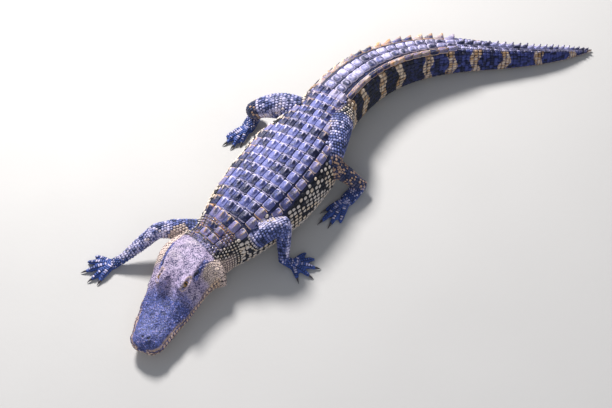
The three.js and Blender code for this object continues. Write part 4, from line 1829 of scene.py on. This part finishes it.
@dataclass
class CoatMaker:
    """Chooses the form of each kind of scale and makes every piece of the coat."""

    skin: Thing
    finish: Material
    reach: float = 4.5
    scute: Plate = Plate(
        "scute", 6, 8, square=6, rim=0.16, dome=0.08, keel=0.76, sharp=0.24, peak=0.6, lean=0.1, root=0.5,
        plain_sides=0.35,
    )
    oval: Plate = Plate("oval", 4, 4, square=2.6, rim=0.2, dome=0.65, keel=0.15, sharp=0.3)
    tile: Plate = Plate("tile", 3, 3, square=7, rim=0.35, dome=0.4, keel=0.15, sharp=0.5)
    bead: Plate = Plate("bead", 3, 3, square=3, rim=0.15, dome=0.75, keel=0.0)
    lozenge: Plate = Plate("lozenge", 4, 3, square=2.1, rim=0.15, dome=0.55, keel=0.3, sharp=0.35, peak=0.4)
    band: Plate = Plate("band", 3, 4, square=5, rim=0.1, dome=0.8, keel=0.0)
    blade: Plate = Plate(
        "blade", 7, 6, square=5, rim=0.1, dome=0.06, keel=0.84, sharp=0.2, peak=0.55, lean=0.12, root=0.3
    )
    neck_gaps: tuple[tuple[float, float, float, float], ...] = ((281, 13, 10, 11), (282, 33, 8, 8), (300, 12, 9, 10))
    eye_gap: float = 17

    def build(self) -> list[Thing]:
        """Makes every piece.

        Returns:
            The pieces.
        """
        tree = surface_tree(self.skin)
        layout = ScaleField()
        side_plates, blades = layout.whorls()
        feet = [layout.foot(i) for i in range(len(LIMBS))]
        palms, toes = zip(*feet)
        pieces: list[tuple[str, Plate, Roots, float]] = [
            ("back_scutes", self.scute, layout.shield(), self.reach),
            ("flank_scales", self.oval, layout.flank(), 3.0),
            ("tail_scales", self.tile, side_plates, 3.0),
            ("tail_crest", self.blade, blades, self.reach),
            ("neck_scales", self.bead, self.clear_of_shield(layout.neck()), 3.0),
            *(
                (f"{limb.kind.name.lower()}_scales_{limb.side.value}", self.lozenge, layout.limb(i), 3.2)
                for i, limb in enumerate(LIMBS)
            ),
            ("foot_scales", self.bead, Roots.join(palms), 7.0),
            ("toe_bands", self.band, Roots.join(toes), 4.0),
            ("lip_scales", self.tile, layout.lips(), 6.0),
            ("cheek_scales", self.bead, layout.cheeks(), 9.0),
            ("face_scales", self.bead, self.clear_of_eyes(layout.face()), 8.0),
        ]
        scatter = ScatterTree()
        made = []
        for seed, (name, plate, roots, reach) in enumerate(pieces):
            slot = "banded_hide" if name.startswith("tail") else "jowl" if name.startswith("cheek") else "hide"
            coat = Coat(name, plate, roots.settle(tree, reach), seed, slot=slot, fine_marks=name == "tail_scales")
            made.append(coat.build(scatter, self.finish))
        return made

    def clear_of_shield(self, roots: Roots) -> Roots:
        """Leaves out the scales under the neck's tall plates and over the trunk's.

        Args:
            roots: the roots of the neck.

        Returns:
            Those that are left.
        """
        s, side = LINE.locate(roots.spot)
        covered = np.zeros(len(s), bool)
        for place, out, length, width in self.neck_gaps:
            covered |= (np.abs(s - place) < length) & (np.abs(np.abs(side) - out) < width)
        return roots.keep(~covered & ((s < 314) | (np.abs(side) > 60)))

    def clear_of_eyes(self, roots: Roots) -> Roots:
        """Leaves out the scales over the openings of the eyes."""
        gaps = [np.linalg.norm(roots.spot - HEAD.eye_centre(hand), axis=1) for hand in HANDS]
        return roots.keep(np.minimum(*gaps) > self.eye_gap)


# ---- Eyes and claws ----


@dataclass
class Eyes:
    """The two eyeballs, whose irises lie behind the lids."""

    rings: int = 24
    around: int = 36
    radius: float = 11.3

    def build(self, side: Side) -> Thing:
        """Makes one eyeball, with the place of its iris marked.

        Args:
            side: which eye.

        Returns:
            The eyeball.
        """
        hand = 1 if side is Side.LEFT else -1
        out, along, across = HEAD.eye_axes(hand)
        polar = np.linspace(0.02, math.pi - 0.02, self.rings)[:, None]
        turn = circle(self.around)[None]
        o, a, c = np.cos(polar) + 0 * turn, np.sin(polar) * np.cos(turn), np.sin(polar) * np.sin(turn)
        cornea = 1 + 0.05 * bell(np.hypot(a, c), 0, 0.45) * (o > 0)
        local = np.stack([o, a, c], -1) * cornea[..., None] * self.radius
        rings = local @ np.stack([out, along, across]) + HEAD.eye_centre(hand)
        shell = Shell()
        shell.loft(rings)
        made = shell.build(f"eyeball_{side.value}")
        ahead = np.where(o > 0, 1, 5).ravel()
        write_floats(made.data, {"iris_a": a.ravel() * ahead, "iris_c": c.ravel() * ahead})
        smooth_shade(made.data)
        return made

    def dress(self, made: Thing, side: Side, finish: Material) -> None:
        """Gives one eyeball its finish and lets it stand for its solid.

        Args:
            made: the eyeball.
            side: which eye it is.
            finish: its finish.
        """
        made.data.materials.append(finish)
        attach(made, "root")
        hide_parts(f"eye_{side.value}")
        LOG.info("%s: %d faces", made.name, len(made.data.polygons))


@dataclass
class Claws:
    """The curved claws of the three inner toes of one limb."""

    limb: Limb
    toes: int = 3
    rings: int = 9
    around: int = 12
    sink: float = 4.0

    def build(self) -> Thing:
        """Makes the claws of the limb as one piece.

        Returns:
            The piece.
        """
        length = 13 if self.limb.is_arm else 16
        tip_r = self.limb.toe_size[1]
        shell = Shell()
        for _, knuckle, tip in self.limb.toe_lines()[: self.toes]:
            ahead = (tip - knuckle) / np.linalg.norm(tip - knuckle)
            side = np.cross(UPRIGHT, ahead)
            side /= np.linalg.norm(side)
            up = np.cross(ahead, side)
            share = np.linspace(0, 1, self.rings)
            reach = share * (length + self.sink) - self.sink
            radius = tip_r * 0.84 * (1 - share**1.6) + 0.25
            bow = 2.6 * np.sin(share * math.pi * 0.62) - 2.4 * share**2
            centres = tip + ahead * reach[:, None] + up * bow[:, None]
            angle = circle(self.around)
            ring = side * np.cos(angle)[:, None] * 0.8 + up * np.sin(angle)[:, None]
            shell.loft(above_floor(centres[:, None] + ring[None] * radius[:, None, None]))
        made = shell.build(f"claws_{self.limb.kind.value[2]}_{self.limb.side.value}")
        smooth_shade(made.data)
        return made

    def dress(self, made: Thing, finish: Material) -> None:
        """Gives the claws their finish and lets them stand for their solids.

        Args:
            made: the piece.
            finish: its finish.
        """
        made.data.materials.append(finish)
        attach(made, "root")
        stem = f"claw_{self.limb.kind.value[2]}_{self.limb.side.value}"
        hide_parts(*(f"{stem}_{i + 1}" for i in range(self.toes)))
        LOG.info("%s: %d faces", made.name, len(made.data.polygons))


# ---- Finishes ----

Colour = tuple[float, float, float]


class Shade:
    """A number or colour in a material's nodes, with arithmetic."""

    def __init__(self, kit: "NodeKit", socket: Socket) -> None:
        """Keeps the socket that carries the value."""
        self.kit, self.socket = kit, socket

    def __add__(self, other: "Shade | float") -> "Shade":
        """The sum."""
        return self.kit.maths("ADD", self, other)

    def __sub__(self, other: "Shade | float") -> "Shade":
        """The difference."""
        return self.kit.maths("SUBTRACT", self, other)

    def __mul__(self, other: "Shade | float") -> "Shade":
        """The product."""
        return self.kit.maths("MULTIPLY", self, other)

    def __rsub__(self, other: float) -> "Shade":
        """A number less this."""
        return self.kit.maths("SUBTRACT", other, self)

    __radd__ = __add__
    __rmul__ = __mul__

    def either(self, other: "Shade | float") -> "Shade":
        """The larger of the two."""
        return self.kit.maths("MAXIMUM", self, other)

    def clamp(self) -> "Shade":
        """The value held between 0 and 1."""
        return self.kit.maths("ADD", self, 0.0, clamp=True)

    def step(self, low: float, high: float) -> "Shade":
        """A soft step from 0 at low to 1 at high."""
        inputs = {"Value": self, "From Min": low, "From Max": high}
        return Shade(self.kit, self.kit.node("ShaderNodeMapRange", inputs, interpolation_type="SMOOTHSTEP").outputs[0])


class NodeKit(NodeMaker):
    """Makes and links the nodes of one material."""

    def __init__(self, name: str) -> None:
        """Starts a material with a principled surface.

        Args:
            name: the material's name.
        """
        self.material = bpy.data.materials.new(name)
        self.material.use_nodes = True
        super().__init__(self.material.node_tree)
        self.tree.nodes.clear()
        self.surface = self.node("ShaderNodeBsdfPrincipled")
        output = self.node("ShaderNodeOutputMaterial")
        self.tree.links.new(self.surface.outputs[0], output.inputs["Surface"])
        self.place = self.node("ShaderNodeTexCoord").outputs["Object"]

    def feed(self, socket: Socket, value: object) -> None:
        """Links or sets one input, given as a shade, a socket, a colour or a number.

        Args:
            socket: the input.
            value: what it takes.
        """
        if isinstance(value, tuple) and socket.type == "RGBA":
            value = (*value, 1.0)
        super().feed(socket, value.socket if isinstance(value, Shade) else value)

    def maths(self, operation: str, first: Shade | float, second: Shade | float, clamp: bool = False) -> Shade:
        """One sum of two values."""
        node = self.node("ShaderNodeMath", {0: first, 1: second}, operation=operation, use_clamp=clamp)
        return Shade(self, node.outputs[0])

    def mark(self, name: str) -> Shade:
        """A number stored on the mesh."""
        return Shade(self, self.node("ShaderNodeAttribute", attribute_name=name).outputs["Fac"])

    def mix(self, share: Shade | float, first: "Shade | Colour", second: "Shade | Colour") -> Shade:
        """One colour laid over another."""
        node = self.node("ShaderNodeMix", {0: share, 6: first, 7: second}, data_type="RGBA")
        return Shade(self, node.outputs[2])

    def noise(self, scale: float, detail: float = 3.0, rough: float = 0.5) -> Shade:
        """Clouds of the given fineness."""
        inputs = {"Vector": self.place, "Scale": scale, "Detail": detail, "Roughness": rough}
        return Shade(self, self.node("ShaderNodeTexNoise", inputs).outputs[0])

    def cells(self, scale: float, feature: str = "F1") -> Shade:
        """Rounded cells of the given fineness."""
        node = self.node("ShaderNodeTexVoronoi", {"Vector": self.place, "Scale": scale}, feature=feature)
        return Shade(self, node.outputs["Distance"])

    def finish(
        self, colour: Shade, roughness: Shade, height: Shade, depth: float, **uniform: float
    ) -> Material:
        """Feeds the surface.

        Args:
            colour: its base colour.
            roughness: its roughness.
            height: its relief.
            depth: the relief's depth in metres.
            uniform: values that are the same all over, by socket name with underscores.

        Returns:
            The material.
        """
        bump = self.node("ShaderNodeBump", {"Height": height, "Strength": 1.0, "Distance": depth})
        self.feed(self.surface.inputs["Base Color"], colour)
        self.feed(self.surface.inputs["Roughness"], roughness)
        self.feed(self.surface.inputs["Normal"], bump.outputs[0])
        for name, value in uniform.items():
            self.surface.inputs[name.replace("_", " ").title().replace("Ior", "IOR")].default_value = value
        return self.material


@dataclass(frozen=True)
class HideFinish:
    """Scaly hide: slate and violet above, dark flanks with cream spots and a banded tail, with painted highlights and
    painted shade.
    """

    slate: Colour = (0.08, 0.105, 0.4)
    slate_dark: Colour = (0.005, 0.01, 0.062)
    # Lilac is also the painted highlight on the scales' rims and keels.
    lilac: Colour = (0.8, 0.74, 0.98)
    cream: Colour = (0.8, 0.64, 0.48)
    bone: Colour = (0.78, 0.7, 0.64)
    black: Colour = (0.006, 0.008, 0.016)
    sooty: Colour = (0.016, 0.021, 0.05)
    tan: Colour = (0.56, 0.33, 0.15)
    limb_blue: Colour = (0.13, 0.17, 0.48)
    limb_dark: Colour = (0.01, 0.02, 0.07)
    foot_blue: Colour = (0.04, 0.09, 0.37)
    skull: Colour = (0.52, 0.42, 0.62)
    skull_dark: Colour = (0.03, 0.03, 0.12)
    snout: Colour = (0.13, 0.17, 0.54)
    snout_dark: Colour = (0.018, 0.026, 0.11)
    snout_speck: Colour = (0.62, 0.48, 0.66)
    jowl: Colour = (0.76, 0.6, 0.54)
    jowl_dark: Colour = (0.09, 0.065, 0.08)
    lip: Colour = (0.68, 0.38, 0.15)
    # Gap is the near-black painted shade in the mouth line, ear slits and nostrils.
    gap: Colour = (0.004, 0.005, 0.01)

    def build(self) -> Material:
        """Makes the hide.

        Returns:
            The material.
        """
        kit = NodeKit("hide")
        broad, middle, fine = kit.noise(16, 3), kit.noise(90, 4, 0.6), kit.noise(420, 3, 0.6)
        rim, keel, tint = (kit.mark(name) for name in SHAPE_MARKS)
        marks = {name: kit.mark(name) for name in MASKS}
        ragged = middle - 0.5
        # Painted highlight: the rims and keels of the scales are painted light lilac, or warm cream along the warm
        # marks.
        edge = (rim + ragged * 1.1).step(0.55, 0.95).either((keel + ragged * 0.9).step(0.3, 0.7))
        slate = kit.mix((middle * 0.8 + tint * 0.35).step(0.42, 0.7), self.slate_dark, self.slate)
        warm_edge = kit.mix(middle.step(0.45, 0.6), self.cream, self.lip)
        highlight_and_wear_tone = kit.mix((marks["warm"] * (0.5 + broad)).clamp(), self.lilac, warm_edge)
        # Lays the painted highlight on the rims and keels over the back's slate.
        back = kit.mix((edge * (0.35 + broad * 0.8 + tint * 0.4 - marks["tail"] * 0.2)).clamp(), slate, highlight_and_wear_tone)
        worn = (tint * 0.8 + fine * 0.7 + broad * 0.5 - 0.55).step(0.2, 0.7) * (1 - rim * 0.9)
        wear = marks["tail"] * 0.6 - marks["rear"] * 0.3 + marks["warm"] * 0.15 + 0.12
        back = kit.mix((worn * wear).clamp(), back, highlight_and_wear_tone)

        inner = (1 - rim + ragged * 0.5).step(0.2, 0.7)
        spot = (tint + broad * 0.5 - 0.25).step(0.1, 0.24) * inner
        flank = kit.mix(middle.step(0.4, 0.8), self.black, self.sooty)
        spotted = kit.mix(tint.step(0.4, 1.0), self.bone, self.cream)
        flank = kit.mix((spot * (0.75 + fine * 0.4)).clamp(), flank, spotted)

        flesh = kit.mix((tint * 0.5 + middle * 0.7).step(0.35, 0.8), self.tan, self.cream)
        cracked = (inner * 0.75 + (middle + fine * 0.5).step(0.6, 0.8) * 0.5).clamp()
        tail = kit.mix(middle.step(0.4, 0.8), self.black, self.sooty)
        # Painted highlight: bluish slate along the rims of the tail's dark side scales.
        tail = kit.mix((rim * ragged.step(-0.1, 0.2) * 0.3).clamp(), tail, self.slate)
        tail = kit.mix((marks["rear"] * (0.35 + middle * 0.9)).clamp() * 0.85, tail, slate)
        tail = kit.mix(((marks["band"] + ragged * 0.6).step(0.35, 0.65) * cracked).clamp(), tail, flesh)

        whole = (1 - rim + ragged * 0.6).step(0.0, 0.32)
        blue = (tint * 0.35 + broad * 0.5 + middle * 0.8 - 0.3).step(0.2, 0.55) * whole
        limb = kit.mix(blue, self.limb_dark, self.limb_blue)
        crown = whole * (tint * 0.3 + broad * 1.9 + ragged * 1.3 - 0.9).step(0.0, 0.45)
        crowned = kit.mix((broad + tint * 0.3).step(0.72, 0.9), self.lilac, self.cream)
        limb = kit.mix((crown * 0.95).clamp(), limb, crowned)
        shank = kit.mix(inner * (tint + broad * 0.5 - 0.3).step(0.4, 0.55), self.limb_dark, self.tan)
        limb = kit.mix(marks["shank"] * 0.85, limb, shank)
        foot = kit.mix((inner * (0.4 + middle)).clamp(), self.limb_dark, self.foot_blue)
        foot = kit.mix((inner * (tint - 0.45).step(0.0, 0.5) * 0.8).clamp(), foot, self.lilac)
        limb = kit.mix(marks["foot"], limb, foot)

        blotch = (middle * 0.55 + fine * 0.95 - 0.26).step(0.38, 0.54)
        # Painted highlight: cream-pink bone patches over the skull colour, placed by noise.
        skull_with_highlights = kit.mix((broad * 0.7 + fine * 0.4).step(0.5, 0.95), self.skull, self.bone)
        skull = kit.mix(blotch, self.skull_dark, skull_with_highlights)
        snout = kit.mix((fine + middle * 0.5 - 0.25).step(0.38, 0.66), self.snout_dark, self.snout)
        specks = kit.cells(300).step(0.45, 0.2) * (middle * 0.6 + fine * 0.5).step(0.5, 0.68)
        snout = kit.mix(specks * 0.85, snout, self.snout_speck)
        pale = kit.mix((rim * 0.9 + ragged).step(0.2, 0.7), self.jowl, self.jowl_dark)
        pale = kit.mix((tint * 0.6 + broad * 0.8 - 0.6).step(0.1, 0.5) * inner * 0.8, pale, self.cream)
        lip = kit.mix((rim * 0.9 + ragged).step(0.35, 0.85), kit.mix(fine, self.lip, self.cream), self.skull_dark)

        colour = kit.mix(marks["tail"], flank, tail)
        colour = kit.mix(marks["back"], colour, back)
        colour = kit.mix(marks["limb"], colour, limb)
        colour = kit.mix((marks["face"] + ragged * 0.8).step(0.3, 0.7), colour, skull)
        colour = kit.mix((marks["snout"] + ragged * 0.9).step(0.2, 0.8) * marks["face"], colour, snout)
        colour = kit.mix(marks["pale"], colour, pale)
        colour = kit.mix((marks["lip"] * (0.4 + middle * 0.9)).clamp() * 0.85, colour, lip)
        # Painted shade in the mouth line, ear slits and nostrils.
        colour = kit.mix(marks["dark"] * 0.92, colour, self.gap)

        cracks = kit.cells(210, "DISTANCE_TO_EDGE").step(0.0, 0.16)
        grain = kit.cells(520) * 0.35 + fine * 0.35 + cracks * 0.6 * (1 - rim)
        roughness = (0.34 + middle * 0.3 + fine * 0.12 - keel * 0.08).clamp()
        return kit.finish(colour, roughness, grain, 0.0007, specular_ior_level=0.5)


@dataclass(frozen=True)
class EyeFinish:
    """A wet amber eye with an upright slit for a pupil."""

    iris: Colour = (0.42, 0.19, 0.035)
    ring: Colour = (0.12, 0.07, 0.016)
    white: Colour = (0.05, 0.035, 0.028)
    pupil: Colour = (0.003, 0.003, 0.004)

    def build(self) -> Material:
        """Makes the eye.

        Returns:
            The material.
        """
        kit = NodeKit("eye")
        a, c = kit.mark("iris_a"), kit.mark("iris_c")
        square = a * a + c * c
        rays = kit.noise(900, 4, 0.7)
        colour = kit.mix(rays.step(0.35, 0.7), self.ring, self.iris)
        colour = kit.mix(square.step(0.30, 0.48), colour, self.white)
        slit = (a * a * 26 + c * c * 1.6).step(1.15, 0.8)
        colour = kit.mix(slit, colour, self.pupil)
        return kit.finish(colour, 0.07 + rays * 0.05, rays, 0.00005, coat_weight=0.6, coat_roughness=0.03)


@dataclass(frozen=True)
class HornFinish:
    """Dark claw horn, with paler worn patches and fine grain."""

    dark: Colour = (0.016, 0.016, 0.028)
    worn: Colour = (0.15, 0.13, 0.15)

    def build(self) -> Material:
        """Makes the horn.

        Returns:
            The material.
        """
        kit = NodeKit("claw_horn")
        streaks, cloud = kit.noise(700, 4, 0.7), kit.noise(110, 3)
        colour = kit.mix((streaks * 0.6 + cloud * 0.6).step(0.5, 0.85), self.dark, self.worn)
        return kit.finish(colour, 0.25 + cloud * 0.25, streaks, 0.0002)


@dataclass(frozen=True)
class FloorFinish:
    """Plain pale matt floor with a breath of mottling."""

    light: Colour = (0.55, 0.545, 0.535)
    shade: Colour = (0.52, 0.515, 0.505)

    def build(self) -> Material:
        """Makes the floor.

        Returns:
            The material.
        """
        kit = NodeKit("floor")
        cloud = kit.noise(3, 2)
        return kit.finish(kit.mix(cloud, self.light, self.shade), 0.7 + cloud * 0.15, kit.noise(60), 0.0002)


# ---- Studio ----


@dataclass
class Studio:
    """The floor, the lights and the camera at the photograph's viewing angle."""

    focal: float = 70.0
    eye: tuple[float, float, float] = (0.9467, -1.4671, 2.040)
    tilt: float = 40.0
    turn: float = 31.0824
    aim: tuple[float, float, float] = (0.0, 0.1, 0.05)
    floor_half: float = 6.0

    def build(self) -> None:
        """Makes the whole studio."""
        self.build_floor()
        self.build_lights()
        self.build_camera()

    def build_floor(self) -> None:
        """Lays the floor."""
        h = self.floor_half / MM
        floor = mesh_object("floor", np.array([(-h, -h, 0), (h, -h, 0), (h, h, 0), (-h, h, 0)]), [(0, 1, 2, 3)])
        floor.data.materials.append(FloorFinish().build())
        floor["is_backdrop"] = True

    def lamp(self, name: str, spot: Sequence[float], size: float, watts: float, colour: Colour) -> None:
        """Adds one soft lamp that points at the animal.

        Args:
            name: its name.
            spot: where it hangs, in metres.
            size: its width.
            watts: its power.
            colour: its colour.
        """
        data = bpy.data.lights.new(name, "AREA")
        data.shape, data.size, data.energy, data.color = "DISK", size, watts, colour
        made = bpy.data.objects.new(name, data)
        made.location = spot
        made.rotation_euler = (Vector(self.aim) - Vector(spot)).to_track_quat("-Z", "Y").to_euler()
        bpy.context.scene.collection.objects.link(made)

    def build_lights(self) -> None:
        """Hangs a large soft key behind and to the animal's right, a low fill and a pale sky."""
        self.lamp("key", (-2.2, 1.5, 2.5), size=0.9, watts=245, colour=(1.0, 0.97, 0.95))
        self.lamp("fill", (1.8, -2.4, 1.8), size=2.4, watts=22, colour=(0.9, 0.94, 1.0))
        world = bpy.data.worlds.new("sky")
        world.use_nodes = True
        background = world.node_tree.nodes["Background"]
        background.inputs["Color"].default_value = (0.86, 0.90, 1.0, 1)
        background.inputs["Strength"].default_value = 0.30
        bpy.context.scene.world = world
        bpy.context.scene.view_settings.view_transform = "Standard"

    def build_camera(self) -> None:
        """Sets the camera."""
        data = bpy.data.cameras.new("camera")
        data.lens, data.sensor_width = self.focal, 36
        data.clip_start, data.clip_end = 0.05, 50
        made = bpy.data.objects.new("camera", data)
        made.location = self.eye
        made.rotation_euler = (math.radians(self.tilt), 0, math.radians(self.turn))
        bpy.context.scene.collection.objects.link(made)
        bpy.context.scene.camera = made


def corners(pair: tuple[Vector, Vector]) -> list[list[float]]:
    """Two corners as plain lists."""
    return [[round(float(x), 6) for x in corner] for corner in pair]


def main() -> None:
    """Builds the skin, the coat, the eyes and the claws, then the studio."""
    logging.basicConfig(level=logging.INFO, format="%(name)s: %(message)s", stream=sys.stdout)
    cad = corners(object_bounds())
    hide, eye, horn = HideFinish().build(), EyeFinish().build(), HornFinish().build()
    skin = Skin()
    body = skin.build()
    skin.dress(body, hide)
    coat = CoatMaker(body, hide).build()
    eyes = Eyes()
    for side in Side:
        eyes.dress(eyes.build(side), side, eye)
    for limb in LIMBS:
        claws = Claws(limb)
        claws.dress(claws.build(), horn)
    Studio().build()
    LOG.info("%d coat pieces", len(coat))
    bpy.context.view_layer.update()
    shown = corners(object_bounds())
    LOG.info("cad %s, visual %s", cad, shown)


if __name__ == "__main__":
    main()
